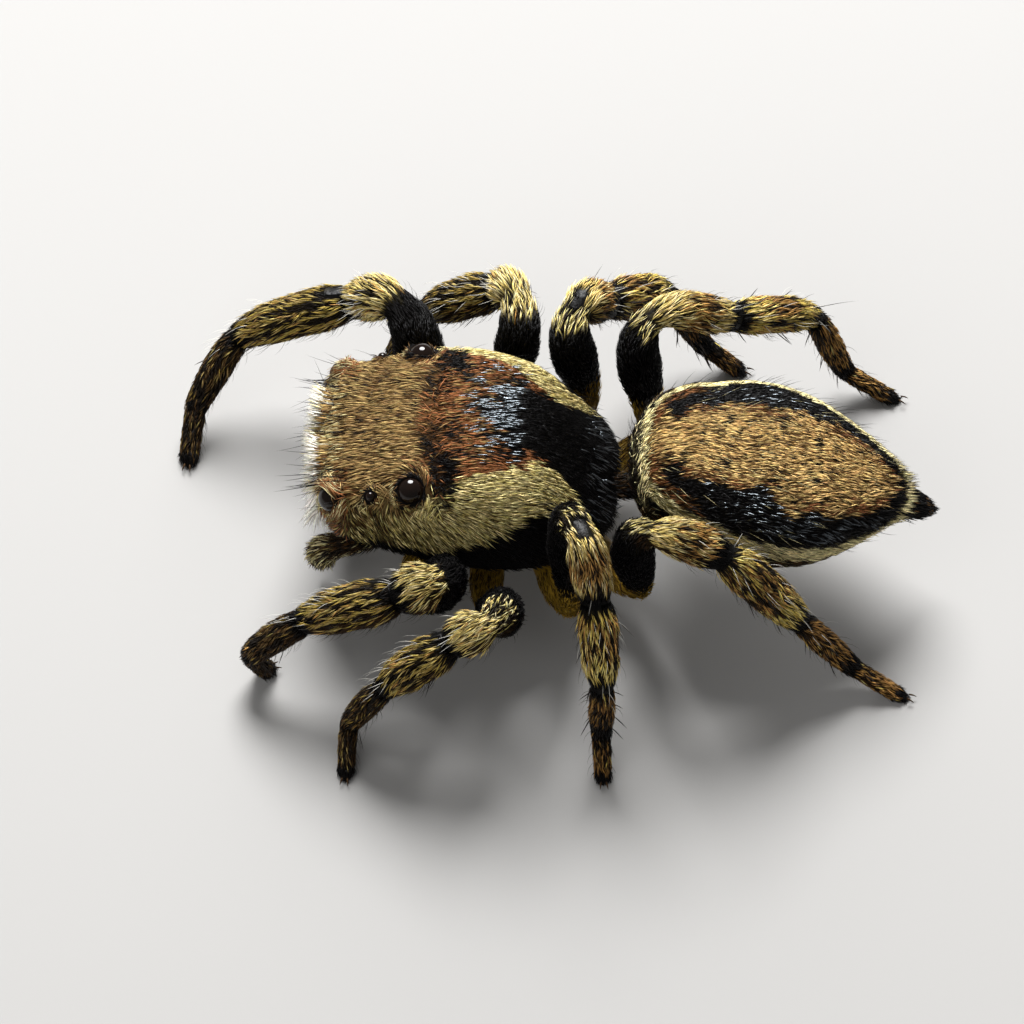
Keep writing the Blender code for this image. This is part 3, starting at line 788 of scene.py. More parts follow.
# Upper edge of the pale line along the flank, z by y, and how wide the line is.
MARGIN = (
    (1.10, 1.76), (1.34, 1.74), (1.59, 1.71), (1.76, 1.69), (1.95, 1.64), (2.20, 1.57), (2.45, 1.49),
    (2.64, 1.43), (2.96, 1.27), (3.20, 1.18), (3.42, 1.13), (3.55, 1.16),
)
LINE_WIDTHS = (
    (1.10, 0.08), (1.70, 0.10), (2.10, 0.16), (2.90, 0.18), (3.20, 0.14), (3.42, 0.12), (3.55, 0.08),
)
SPOTS, SPOT_SIZE = ((0.225, 1.96), (0.33, 2.43), (0.20, 2.78)), (0.055, 0.045)
LOBE, LOBE_SIZE = (0.30, 1.50), (0.105, 0.11)
# The markings of the rear half lie a little toward its left.
REAR_SHIFT = 0.065
# How much higher the pale line is on the right side, by y.
RIGHT_RISE = (
    (1.30, 0.0), (1.45, -0.07), (2.20, -0.07), (2.50, 0.01), (2.90, 0.09), (3.20, 0.14), (3.42, 0.10),
    (3.60, 0.0),
)


def rolled(p):
    """|x|, y and z of the abdomen as they are before its roll."""
    x, y, z = p[:, 0], p[:, 1], p[:, 2] - ROLL_LEVEL
    across = x * np.cos(ROLL) - z * np.sin(ROLL) - REAR_SHIFT * ease(y, 2.3, 2.55)
    return abs(across), y, ROLL_LEVEL + x * np.sin(ROLL) + z * np.cos(ROLL)


def margin_level(p):
    """The level of the upper edge of the pale line."""
    return profile(p[:, 1], MARGIN) + profile(p[:, 1], RIGHT_RISE) * ease(-p[:, 0], 0.0, 0.2)


def abdomen_layers(p, n):
    """The markings of the abdomen, at places p with normals n."""
    x, y, z = rolled(p)
    uneven = 0.022 * ripple(p, 0.08, 11)
    inner = profile(y, DARK_INNER) + uneven
    margin = margin_level(p) + 0.3 * uneven
    above = ease(z, margin - 0.01, margin + 0.02)
    field = above * (1 - ease(x, inner - 0.02, inner + 0.02)) * (1 - ease(y, 3.44, 3.50))
    rust = field * ease(x, inner - 0.13, inner - 0.01) * (0.60 + 0.35 * ripple(p, 0.3, 12))
    rust_front = above * between(y, 1.24, 1.36, 0.03) * between(x, 0.16, 0.70, 0.06)
    lobe = blot(x, y, LOBE, LOBE_SIZE)
    dusk = above * (1 - ease(z, margin + 0.05, margin + 0.10)) * between(y, 1.3, 1.7, 0.1)
    rim = 1 - ease(y + 0.03 * ripple(p, 0.15, 13), 1.20, 1.26)
    line = between(z, margin - profile(y, LINE_WIDTHS), margin, 0.012)
    dots = sum(blot(x, y, spot, SPOT_SIZE) for spot in SPOTS)
    below = 1 - ease(z, margin - 0.20, margin - 0.12)
    face = ease(-n[:, 1], 0.80, 0.92)
    return [
        # The dark under side.
        (below * 0.9, SOOT),
        (below * 0.35, BROWN),
        (below * (0.10 + 0.5 * (1 - ease(z, 0.75, 1.0))) * (1 - ease(y, 3.0, 3.2)), CREAM * 0.45),
        # The tan field on top, with dark flecks and rust at its edges.
        (field, TAN * 1.52),
        (field * (0.46 + 0.12 * ripple(p, 0.4, 14)), GOLD * 1.40),
        (field * (0.26 + 0.14 * ripple(p, 0.2, 15)), BROWN * 1.3),
        (field * ease(ripple(p, 0.040, 17), 1.0, 1.5) * 0.9, BLACK),
        (field * 0.13, BLACK),
        (rust * 0.8, RUST * 0.75),
        (rust * 0.3, BROWN),
        (rust_front * 0.75, RUST * 0.8),
        (dusk * 0.6, BROWN),
        (dusk * 0.3, RUST * 0.8),
        (lobe, BLACK),
        # The pale line and the pale front rim.
        (line * 0.92, CREAM * 1.15),
        (line * 0.45 * (1 - ease(y, 1.7, 2.1)), STRAW * 0.55),
        (rim * ease(z, 1.35, 1.5), CREAM * 1.3),
        (face * 0.9, SOOT),
        (dots, BLACK),
    ]


# v, the way round a leg, on its top, on its under side and where the shin's plate lies.
TOP, UNDER, SHIN = 0.75, 0.25, 0.79
# Black rings of the legs: (joint, start and end in mm from it, strength). 4.5 is halfway down the foot.
LEG_RINGS_DARK = {
    "fore": ((3.0, -0.12, 0.11, 1.0), (4.0, -0.12, 0.09, 1.0), (4.5, -0.05, 0.05, 0.6)),
    "hind": ((3.0, -0.15, 0.11, 1.0), (4.0, -0.16, 0.09, 1.0), (4.5, -0.14, 0.07, 0.95)),
}
KNEE_PLATES = {1: -0.05, 2: -0.05, 3: 0.13, 4: 0.03}
SHIN_PLATES = {1: 0.26, 2: 0.16, 3: 0.10, 4: 0.05}
# The black of the thigh ends this far before the knee, in mm. On the first pair it reaches the knee, and its
# last stretch there is painted shade.
THIGH_ENDS = {1: 0.0, 2: -0.19, 3: -0.20, 4: -0.16}
# How much darker each piece is: shift of the streaks.
STREAK_SHIFTS = {
    1: (-1.0, 1.0, 0.0, 0.78, 0.65),
    2: (-1.0, 1.0, 0.0, 0.75, 0.65),
    3: (-1.0, 1.0, -0.05, 0.38, 0.45),
    4: (-1.0, 1.0, -0.05, 0.12, 0.10),
}
# The tone of the pale hairs of each piece.
PALE_TONES = {
    "fore": ((1, 1, 1), (1, 1, 1), (1.12, 1.07, 1.02), (0.70, 0.61, 0.40), (0.56, 0.48, 0.30)),
    "hind": ((1, 1, 1), (1, 1, 1), (1.16, 1.08, 1.02), (1.16, 1.06, 0.72), (1.02, 0.94, 0.68)),
}
# The colour of most hairs of the foot.
FOOT_TONES = {1: TAN * 0.40, 2: TAN * 0.40, 3: AMBER * 0.6, 4: AMBER * 0.9}
# On the last two pairs, the brown zones between the pale ends of each piece, by key.
BROWN_ZONES = ((2.35, 2.72), (3.20, 3.62), (4.10, 4.40), (4.58, 4.90))


def leg_kind(number):
    """Which rows of the tables the first two pairs and the last two take."""
    return "fore" if number < 3 else "hind"


def streaks(key, v, seed):
    """Uneven values of about -1 to 1 that run lengthwise along a leg."""
    draw = np.random.default_rng(seed)
    total = np.zeros_like(key)
    for lobes in draw.integers(7, 20, 14):
        swing = 1.8 * np.sin(draw.uniform(3.0, 8.0) * key + draw.uniform(0, 6.3))
        total += np.cos(2 * np.pi * lobes * v + draw.uniform(0, 6.3) + swing)
    return total / 7**0.5


def piece_lengths(side, number):
    """The lengths of a leg's five pieces in mm."""
    steps = np.linalg.norm(np.diff(LEG_JOINTS[side, number], axis=0), axis=1)
    return np.array([*steps[:4], steps[4] + steps[5]])


def from_joint(key, joint, lengths):
    """How far along the leg a place lies from a joint, in mm."""
    piece = np.where(key < joint, int(joint - 1e-6), min(int(joint), 4))
    return (key - joint) * lengths[piece]


def plates(key, v, number, lengths):
    """The bare black plates on the upper side of the joints."""
    top, end = facing(v, TOP), KNEE_PLATES[number]
    knee = between(from_joint(key, 2.0, lengths), -0.04, end, 0.015) * ease(top, 0.72, 0.90) * (end > 0)
    shin = between(from_joint(key, 3.0, lengths), 0.0, SHIN_PLATES[number], 0.02)
    shin *= ease(facing(v, SHIN), 0.86, 0.94)
    rings = [between(from_joint(key, joint, lengths), -0.030, 0.025, 0.012) for joint in (3.0, 4.0)]
    return (knee + shin + sum(rings) * ease(top, -0.1, 0.4)).clip(0, 1)


def leg_layers(p, key, v, number, lengths):
    """The markings of a leg, at places p, with key along the leg and v round it."""
    kind = leg_kind(number)
    hind = kind == "hind"
    uneven = 0.012 * ripple(p, 0.12, 20 + number)
    ring = np.zeros_like(key)
    for joint, start, end, strength in LEG_RINGS_DARK[kind]:
        found = between(from_joint(key, joint, lengths) + uneven, start, end, 0.015)
        ring = np.maximum(ring, strength * found)
    coxa = (key < 1.0) * 1.0
    # The thigh is black; on the first pair the black up to the knee is painted shade.
    thigh_black_and_shade = (from_joint(key, 2.0, lengths) + uneven < THIGH_ENDS[number]) * (key > 1.0)
    bright_base = (1 - ease(key, 1.26, 1.38)) * hind
    foot = ease(key, 3.98, 4.08)
    tip = ease(from_joint(key, 5.0, lengths), -0.15, -0.10)
    piece = key.astype(int).clip(0, 4)
    shift = np.array(STREAK_SHIFTS[number])[piece]
    tone = np.array(PALE_TONES[kind])[piece]
    streak = streaks(key, v, 30 + number) + shift + 0.5 * ripple(p, 0.12, 80 + number)
    under = ease(-facing(v, TOP), -0.1, 0.6)
    blush = ease(ripple(p, 0.16, 50 + number), -0.2, 0.6)
    zone = sum(between(key, start, end, 0.05) for start, end in BROWN_ZONES) if hind else 0.10
    return [
        # The pale hairs, browner in places.
        (1.0, STRAW * tone),
        (0.38, CREAM * 0.75 * tone),
        (blush * 0.30 * ease(key, 2.9, 3.1), TAN * 0.8),
        (zone * (0.45 + 0.45 * blush), AMBER),
        (zone * (0.20 + 0.25 * blush), BROWN),
        (foot * 0.80, FOOT_TONES[number]),
        (foot * (0.25 if hind else 0.40), BROWN * 0.7),
        # The dark streaks, under side, rings and the thigh's black, partly painted shade on the first pair.
        (ease(streak, 0.30, 0.75) * 0.97, SOOT),
        (under * (0.5 if hind else 0.72), BROWN * 0.35),
        (ring, BLACK),
        (thigh_black_and_shade * 1.0, BLACK),
        (bright_base, HONEY),
        (tip, BLACK),
        (plates(key, v, number, lengths), BLACK),
        (coxa, HONEY * 0.8),
        (coxa * 0.35, BROWN * 0.5),
    ]


def small_layers(kind, p, key):
    """The colours of a small coat: dark hairs, with a share of pale ones on the limbs and jaws."""
    if kind == "spinnerets":
        return [(0.08, BROWN)]
    if kind == "pedicel":
        return [(0.3, BROWN * 0.4)]
    start, growth = PALE_SHARES[kind]
    pale = start + growth * ease(key, 0.50, 0.70)
    return [
        (1.0, SOOT),
        (0.30, BROWN * 0.6),
        (pale * (0.8 + 0.4 * ripple(p, 0.2, 70)), CREAM * 0.85),
        (pale * 0.3, STRAW * 0.6),
    ]


# Materials.


def new_material(name, build):
    material = bpy.data.materials.new(name)
    material.use_nodes = True
    nodes, links = material.node_tree.nodes, material.node_tree.links
    build(nodes, links, nodes["Principled BSDF"])
    return material


# The grain of the hairs and of the skin, to the metre.
HAIR_GRAIN, SKIN_GRAIN, LENS_GRAIN = 30000, 22000, 9000
BUMP_DEPTH = 0.00002


def new_node(nodes, kind, **values):
    """A node with these input values, their names written with _ for a space."""
    node = nodes.new(f"ShaderNode{kind}")
    set_inputs(node, **values)
    return node


def set_inputs(node, **values):
    for name, value in values.items():
        node.inputs[name.replace("_", " ")].default_value = value


def tinted(nodes, links, shader, grain, depth, strength):
    """The tint of the mesh, uneven by a noise, and a bump from the same noise."""
    tint = new_node(nodes, "Attribute")
    tint.attribute_name = "tint"
    place = new_node(nodes, "TexCoord")
    noise = new_node(nodes, "TexNoise", Scale=grain, Detail=4)
    links.new(place.outputs["Object"], noise.inputs["Vector"])
    light = new_node(nodes, "MapRange", To_Min=1 - depth, To_Max=1 + depth)
    links.new(noise.outputs["Fac"], light.inputs["Value"])
    mix = new_node(nodes, "VectorMath")
    mix.operation = "SCALE"
    links.new(tint.outputs["Color"], mix.inputs[0])
    links.new(light.outputs["Result"], mix.inputs["Scale"])
    links.new(mix.outputs["Vector"], shader.inputs["Base Color"])
    bump = new_node(nodes, "Bump", Strength=strength, Distance=BUMP_DEPTH)
    links.new(noise.outputs["Fac"], bump.inputs["Height"])
    links.new(bump.outputs["Normal"], shader.inputs["Normal"])
    return tint, noise


def roughened(nodes, links, shader, source, least, most, full=1.0):
    """Roughness from least to most, as the source goes from 0 to full."""
    rough = new_node(nodes, "MapRange", From_Max=full, To_Min=least, To_Max=most)
    links.new(source.outputs["Fac"], rough.inputs["Value"])
    links.new(rough.outputs["Result"], shader.inputs["Roughness"])


def coat_material(nodes, links, shader):
    """Pale hairs are duller than black ones."""
    tint, _ = tinted(nodes, links, shader, HAIR_GRAIN, 0.18, 0.2)
    roughened(nodes, links, shader, tint, 0.42, 0.62, full=0.12)
    set_inputs(shader, Specular_IOR_Level=0.14)


def glossy_coat_material(nodes, links, shader):
    """The black hairs that glint."""
    _, noise = tinted(nodes, links, shader, HAIR_GRAIN, 0.18, 0.2)
    roughened(nodes, links, shader, noise, 0.22, 0.36)
    set_inputs(shader, IOR=1.8, Specular_IOR_Level=1.0, Specular_Tint=(0.80, 0.91, 1.0, 1))


def skin_material(nodes, links, shader):
    _, noise = tinted(nodes, links, shader, SKIN_GRAIN, 0.25, 0.5)
    roughened(nodes, links, shader, noise, 0.34, 0.52)
    set_inputs(shader, Specular_IOR_Level=0.18)


def underskin_material(nodes, links, shader):
    """The dull skin below a close coat."""
    tinted(nodes, links, shader, SKIN_GRAIN, 0.25, 0.5)
    set_inputs(shader, Roughness=0.85, Specular_IOR_Level=0.05)


def lens_material(nodes, links, shader):
    """Nearly black and glossy, a little browner in places."""
    place = new_node(nodes, "TexCoord")
    noise = new_node(nodes, "TexNoise", Scale=LENS_GRAIN)
    links.new(place.outputs["Object"], noise.inputs["Vector"])
    ramp = new_node(nodes, "ValToRGB")
    ramp.color_ramp.elements[0].color = (0.002, 0.0015, 0.0015, 1)
    ramp.color_ramp.elements[1].color = (0.010, 0.005, 0.003, 1)
    links.new(noise.outputs["Fac"], ramp.inputs["Fac"])
    links.new(ramp.outputs["Color"], shader.inputs["Base Color"])
    set_inputs(shader, Roughness=0.08, Specular_IOR_Level=0.30)


def floor_material(nodes, links, shader):
    set_inputs(shader, Base_Color=FLOOR_COLOUR, Roughness=0.9)


COAT = new_material("scale_hairs", coat_material)
GLOSSY_COAT = new_material("black_hairs", glossy_coat_material)
UNDERSKIN = new_material("underskin", underskin_material)
CUTICLE = new_material("cuticle", skin_material)
LENS = new_material("eye_lens", lens_material)


# The lie of the coat.

BACK = np.array((0.0, 1.0, 0.0))


def downward(roots):
    """The steepest way down over the skin."""
    return unit(-UP - roots.normal * dot(-UP, roots.normal) + 1e-6)


def sideways(roots):
    """How far out each root is, as a vector."""
    return roots.spot * (1, 0, 0)


def jitter(n, amount):
    """Random vectors that set each of n hairs off its lie."""
    return RNG.normal(size=(n, 3)) * amount


def swirl(roots, amount, seed):
    """A turn of the lie that neighbouring hairs share, so that they gather into locks."""
    turn = amount * (ripple(roots.spot, 0.07, seed) + 0.6 * ripple(roots.spot, 0.3, seed + 1))
    return turn[:, None]


# How far from an eye the hairs bend round it, in radii. By the front pair they run straight on.
BENDS = {"eye_front_lateral": 1.9, "eye_small": 2.5, "eye_rear": 2.5}


def round_eyes(roots, lie):
    """Near an eye the hairs bend round it."""
    for kind, end in BENDS.items():
        for sign in SIDES.values():
            away = roots.spot - eye_centre(kind, sign)
            reach = np.linalg.norm(away, axis=1, keepdims=True) / EYES[kind][3]
            circle = unit(np.cross(roots.normal, away))
            circle *= np.sign(dot(circle, lie))
            outward = unit(away - roots.normal * dot(away, roots.normal))
            near = 1 - ease(reach, 1.2, end)
            lie = unit(lie * (1 - near) + (circle + 0.45 * outward) * near)
    return lie


def clear_of_eyes(roots, room=1.0):
    """Drops roots too close to an eye; a larger room keeps them farther off."""
    keep = np.ones(len(roots), bool)
    for kind, share in EYE_ROOM.items():
        for sign in SIDES.values():
            away = roots.spot - eye_centre(kind, sign)
            keep &= np.linalg.norm(away, axis=1) > EYES[kind][3] * share * room
    return roots.keep(keep)


def carapace_lie(roots):
    """Forward before the parting, backward behind it, and backward and down on the sides."""
    x, parted = roots.spot[:, :1], from_parting(roots.spot)[:, None]
    steep = 1 - ease(roots.normal[:, 2:3], 0.25, 0.75)
    seam = ridge(parted, 0.07) * (1 - steep)
    ahead = (parted < 0.05 * jitter(len(roots), 1.0)[:, :1]) * 1.0
    sidewise = np.sign(x) * np.array((1.0, 0, 0))
    top = BACK * (1 - 2 * ahead) + sidewise * 0.3 * ahead * abs(x)
    brow = ease(-roots.normal[:, 1:2], 0.10, 0.45)
    flank = BACK * (0.85 - 1.45 * brow) + downward(roots) * 0.6
    lie = top * (1 - steep) + flank * steep
    face = ease(-roots.normal[:, 1:2], 0.5, 0.8)
    rear = ease(roots.normal[:, 1:2], 0.5, 0.9)
    lie = lie * (1 - face - rear) + downward(roots) * (face + rear)
    across = np.cross(roots.normal, lie)
    lie = unit(lie) + across * swirl(roots, 0.15, 80) + jitter(len(roots), 0.08) * (1 + 5 * seam)
    return round_eyes(roots, unit(lie))


# Coats and tufts.


def hair_sizes(coat, **shares):
    """The length and width of a coat's hairs, with these shares of what the table adds."""
    length, width = HAIRS[coat]["plain"]
    for name, share in shares.items():
        longer, wider = HAIRS[coat][name]
        length, width = length + longer * share, width + wider * share
    return length, width


def glinting(roots, across, along):
    """Roots whose hairs turn their broad side up, by these shares of the slopes across and along."""
    turned = roots.keep(slice(None))
    slopes = np.ones_like(roots.normal) - np.array((across, 0, 0))
    slopes[:, 1] -= along
    turned.normal = unit(roots.normal * slopes + jitter(len(roots), 0.10))
    return turned


def add_coat_piece(name, slot, roots, lie, sizes, droop, colour, glint=()):
    """A piece of the body's coat. Its glossy hairs lie flat, turned by the shares in glint."""
    mane = Mane(name, slot)
    if glint:
        length, width, _ = sizes
        roots = glinting(roots, *glint)
        mane.add(roots, lie, length, width, GLOSS_LIFT, GLOSS_DROOP, colour, rings=3, round_=GLOSS_ROUND)
    else:
        mane.add(roots, lie, *sizes, droop, colour)
    mane.finish(GLOSSY_COAT if glint else COAT)


def split_sides(coat, roots):
    """Which roots lie on the sides of a coat, and which of those are left out."""
    rise, level, low, high = SIDE_COATS[coat]
    side = roots.normal[:, 2] < rise
    return side, side & (RNG.random(len(roots)) < np.where(roots.spot[:, 2] < level, low, high))


def carapace_shine(roots):
    """The share of the black hairs that glint."""
    x, y = abs(roots.spot[:, 0] + 0.10), roots.spot[:, 1]
    middle = 0.60 * between(y, -0.48, 0.0, 0.07) * (1 - ease(x, 0.22, 0.42))
    beside = 0.22 * between(y, -0.42, 0.02, 0.04) * (1 - ease(x, 0.45, 0.62))
    rear = 0.09 * between(y, 0.68, 0.86, 0.10) * (x < 0.6)
    uneven = ease(ripple(roots.spot * (1, 0.6, 1), 0.09, 8), -0.5, 0.6)
    return np.maximum(np.maximum(middle, beside) * uneven, rear)


def add_carapace(surface):
    roots = clear_of_eyes(scatter(surface, DENSITIES["carapace"]))
    count = len(roots)
    side, thin = split_sides("carapace", roots)
    lie = carapace_lie(roots)
    parted = abs(from_parting(roots.spot))[:, None]
    middle = roots.spot + HALF_HAIR * lie * ease(parted, 0.05, 0.12)
    colour = coat_colours(carapace_layers(middle, roots.normal), count)
    dark = colour.mean(axis=1) < 0.06
    glossy = (dark | (RNG.random(count) < 0.25)) & (RNG.random(count) < carapace_shine(roots))
    colour[glossy] = BLACK
    for name, chosen, gloss in (
        ("coat_carapace_top", ~side & ~glossy, False),
        ("coat_carapace_sides", side & ~thin & ~glossy, False),
        ("coat_carapace_gloss", glossy & ~thin, True),
    ):
        part, shade = roots.keep(chosen), colour[chosen]
        n, pale = len(part), paleness(shade)
        parted, upper = from_parting(part.spot), part.normal[:, 2] > 0.5
        length, width = hair_sizes("carapace", crown=(parted < 0) & upper, pale=pale, gloss=gloss)
        lift = 0.27 + 0.10 * pale + 0.25 * ridge(parted, 0.06) * upper
        sizes = varied(length, LENGTHS, n), varied(width, WIDTHS, n), varied(lift, LIFTS, n)
        glint = (0.7, np.where(part.spot[:, 1] < 0.3, 0.6, 0.15)) if gloss else ()
        add_coat_piece(name, "carapace_scales", part, lie[chosen], sizes, 0.8, shade, glint)


def rim_colours(kind, roots):
    """Round the front eyes the hairs have colours of their own, and by the others those of the head."""
    if kind == "eye_front_median":
        outer = roots.u > 0.58
        layers = [(1.0, WHITE), (0.22, CREAM), (outer * 0.8, TAN), (outer * 0.4, GOLD), (outer * 0.2, BROWN)]
    elif kind == "eye_front_lateral":
        above = ease(roots.normal[:, 2], 0.1, 0.6)
        inner = (roots.u < 0.50) * 0.40
        layers = [(1.0, BROWN), (0.3, TAN), (above * 0.6, RUST), (above * 0.35, CREAM * 0.8), (inner, BLACK)]
    else:
        layers = carapace_layers(roots.spot, roots.normal)
        layers += [(0.85 * (roots.u < 0.52), BLACK), (0.25, BROWN)]
    return coat_colours(layers, len(roots))


def rim_hairs(kind, roots, centre, axis):
    """The lie, length and lift of the hairs round an eye."""
    n = len(roots)
    if kind == "eye_front_median":
        away = roots.spot - centre
        flare = 0.30 * (1 - ease(roots.u[:, None], 0.45, 0.65))
        lie = unit(axis + flare * unit(away - axis * dot(away, axis)) + jitter(n, 0.12))
        length = varied(np.where(roots.u < 0.6, 0.19, 0.14), (0.8, 1.15), n)
        return lie, length, np.arcsin(dot(lie, roots.normal)[:, 0].clip(0.05, 0.95))
    lie = carapace_lie(roots)
    if kind == "eye_front_lateral":
        lie = lie + 0.9 * axis + jitter(n, 0.10)
        length = varied(0.08 + 0.08 * ease(roots.normal[:, 2], 0.1, 0.6), (0.7, 1.3), n)
        return lie, length, RNG.uniform(0.05, 0.30, n)
    return lie, varied(0.085, (0.7, 1.3), n), RNG.uniform(0.1, 0.45, n)


def add_rims(rims):
    """Hairs round the eyes: a tube of long ones about each of the big front pair."""
    mane = Mane("coat_eye_rims", "carapace_scales", len(rims))
    for kind, sign, surface in rims:
        big = kind == "eye_front_median"
        axis = unit(np.array(EYE_RIMS[kind][0]) * (sign, 1, 1))
        roots = scatter(surface, DENSITIES[kind])
        roots = roots.keep((roots.u > 0.26) & ((roots.u < 0.70) | (not big)))
        colour = rim_colours(kind, roots)
        lie, length, lift = rim_hairs(kind, roots, eye_centre(kind, sign), axis)
        width = varied(0.012 if big else 0.009, WIDTHS, len(roots))
        mane.add(roots, lie, length, width, lift, 0.0 if big else 0.8, colour)
        mane.next_surface()
    mane.finish(COAT)


def add_fringe(surface):
    """The long pale hairs of the brow, and those that hang over the jaws."""
    mane = Mane("fringe_clypeus", "carapace_scales")
    roots = scatter(surface, DENSITIES["face"])
    x, y, z = roots.spot.T
    face = clear_of_eyes(roots.keep((roots.normal[:, 1] < -0.6) & (z < 1.20) & (abs(x) < 0.58)))
    lie = downward(face) + 0.3 * sideways(face) + jitter(len(face), 0.12)
    mane.add(face, lie, *TUFTS["fringe"])
    brow = clear_of_eyes(roots.keep((y < -1.52) & (z > 1.40) & (abs(x) < 0.62)))
    lie = -BACK - 0.5 * UP + 0.3 * sideways(brow) + jitter(len(brow), 0.10)
    layers = [(1.0, TAN * 0.9), (0.35, GOLD * 0.9), (0.28, CREAM * 0.85), (0.25, BROWN), (0.08, BLACK)]
    colour = coat_colours(layers, len(brow))
    mane.add(brow, lie, (0.08, 0.14), (0.008, 0.011), (0.1, 0.5), 0.7, colour, rings=3, fade=0.7)
    mane.finish(COAT)


def abdomen_lie(roots):
    """Backward, down the flanks, inward at the rear and up over the front."""
    slope = 1 - ease(roots.normal[:, 2:3], 0.3, 0.8)
    inward = -0.35 * sideways(roots) * ease(roots.spot[:, 1:2], 2.4, 3.4)
    lie = BACK + 0.3 * downward(roots) * slope + inward
    lie = lie + np.cross(roots.normal, lie) * swirl(roots, 0.20, 90) + jitter(len(roots), 0.12)
    front = ease(-roots.normal[:, 1:2], 0.5, 0.9)
    return unit(lie * (1 - front) + (UP + jitter(len(roots), 0.3)) * front)


def abdomen_shine(roots):
    """The share of the black hairs of the dark band that glint."""
    x, y, z = rolled(roots.spot)
    band = ease(z - margin_level(roots.spot), 0.02, 0.08) * (x > profile(y, DARK_INNER) - 0.02) * (y < 3.4)
    return band * (0.04 + 0.13 * ease(roots.spot[:, 0], 0.0, 0.3) * ease(y, 1.5, 2.2))


def add_abdomen(surface):
    roots = scatter(surface, DENSITIES["abdomen"])
    count = len(roots)
    side, thin = split_sides("abdomen", roots)
    lie = abdomen_lie(roots)
    behind = roots.spot[:, 1:2] > 1.25
    colour = coat_colours(abdomen_layers(roots.spot + HALF_HAIR * lie * behind, roots.normal), count)
    glossy = (colour.mean(axis=1) < 0.01) & (RNG.random(count) < abdomen_shine(roots))
    for name, chosen, gloss in (
        ("coat_abdomen_top", ~side & ~glossy, False),
        ("coat_abdomen_sides", side & ~thin & ~glossy, False),
        ("coat_abdomen_gloss", glossy, True),
    ):
        part, shade = roots.keep(chosen), colour[chosen]
        n = len(part)
        rear = ease(part.normal[:, 1], 0.5, 0.9)
        length, width = hair_sizes("abdomen", pale=paleness(shade), gloss=gloss, rear=rear)
        sizes = varied(length, LENGTHS, n), varied(width, WIDTHS, n), varied(0.30, LIFTS, n) + 0.9 * rear
        glint = (0.8, 0.3) if gloss else ()
        add_coat_piece(name, "abdomen_scales", part, lie[chosen], sizes, 0.8 * (1 - rear), shade, glint)


def add_leg(side, number, surface):
    mane = Mane(f"coat_leg_{side}_{number}", "leg_scales")
    lengths = piece_lengths(side, number)
    roots = scatter(surface, DENSITIES["leg"])
    key = roots.key[:, 0]
    middle = (key + HALF_HAIR / lengths[key.astype(int).clip(0, 4)]).clip(0, LAST_KEY)
    share = np.where(key < 1.0, 0.45, np.where(key < 1.7, 0.55, 1.0))
    share *= 1 - 0.96 * plates(middle, roots.v, number, lengths)
    chosen = (key > 0.35) & (RNG.random(len(key)) < share)
    roots, key, middle = roots.keep(chosen), key[chosen], middle[chosen]
    n = len(roots)
    colour = coat_colours(leg_layers(roots.spot, middle, roots.v, number, lengths), n)
    length, width = hair_sizes("leg", pale=paleness(colour))
    length = varied(length * (1 - 0.25 * ease(key, 3.95, 4.3)), (0.75, 1.3), n)
    width = varied(width, WIDTHS, n)
    lie = roots.along + np.cross(roots.normal, roots.along) * swirl(roots, 0.30, 100 + number)
    lift = varied(0.28, (0.5, 1.8), n)
    mane.add(roots, lie + jitter(n, 0.10), length, width, lift, 0.75, colour)
    add_long_hairs(mane, roots, number)
    add_spines(mane, roots, number)
    add_tall_hairs(mane, roots, TALL_HAIRS.get((side, number), ()))
    add_claw_tuft(mane, roots)
    mane.finish(COAT)


# Single tall hairs: key, length and lift.
TALL_HAIRS = {("right", 3): ((2.10, 0.40, 1.45),), ("right", 4): ((2.95, 0.30, 1.1), (3.86, 0.46, 0.8))}


def add_long_hairs(mane, roots, number):
    """Fine hairs that stand out: dark ones below, and pale ones above, on the first pairs in front."""
    key = roots.key[:, 0]
    crest = (number > 2) & (key > 1.6) & (key < 2.5)
    chosen = roots.keep((RNG.random(len(key)) < 0.065) & (key > 1.7) & (key < 4.9) & ~crest)
    n, key = len(chosen), chosen.key[:, 0]
    under = facing(chosen.v, UNDER) > 0.1
    ahead = (chosen.normal[:, 1] < -0.40) & (key > 2.1)
    pale = ~under & (ahead if number < 3 else RNG.random(n) < 0.2) & (key < 4.15)
    dark = under | ((RNG.random(n) < 0.3) & (number > 2))
    chosen, pale = chosen.keep(pale | dark), pale[pale | dark]
    n = len(chosen)
    tone = np.where(pale[:, None], WHITE * 0.62, SOOT)
    length = varied(np.where(pale, 0.19, 0.16), (0.7, 1.4), n) * (1 - 0.3 * ease(chosen.key[:, 0], 4, 5))
    lie = chosen.along + jitter(n, 0.25)
    mane.add(chosen, lie, length, (0.0045, 0.0062), (0.8, 1.3), 0.9, tone, rings=4, fade=0.9)


def add_spines(mane, roots, number):
    """Stout spines below the shin and foot, more of them on the hind feet."""
    key = roots.key[:, 0]
    many = np.where((key > 4.0) & (number > 2), 0.016, 0.006)
    spiny = (RNG.random(len(key)) < many) & (key > 3.1) & (key < 4.6)
    spines = roots.keep(spiny & (facing(roots.v, UNDER) > -0.4))
    mane.add(spines, spines.along, *TUFTS["spines"])


def add_tall_hairs(mane, roots, rows):
    """Single hairs that stand up from the top of a leg."""
    top = roots.keep(facing(roots.v, TOP) > 0.9)
    for place, length, lift in rows:
        tall = top.keep(np.array([abs(top.key[:, 0] - place).argmin()]))
        mane.add(tall, tall.along + jitter(1, 0.2), length, 0.008, lift, 0.3, BLACK, rings=4, fade=1.0)


def add_claw_tuft(mane, roots):
    """The black tuft under the claws."""
    tip = roots.keep(roots.key[:, 0] > 4.86)
    mane.add(tip, tip.along + jitter(len(tip), 0.3), *TUFTS["claw_tuft"])


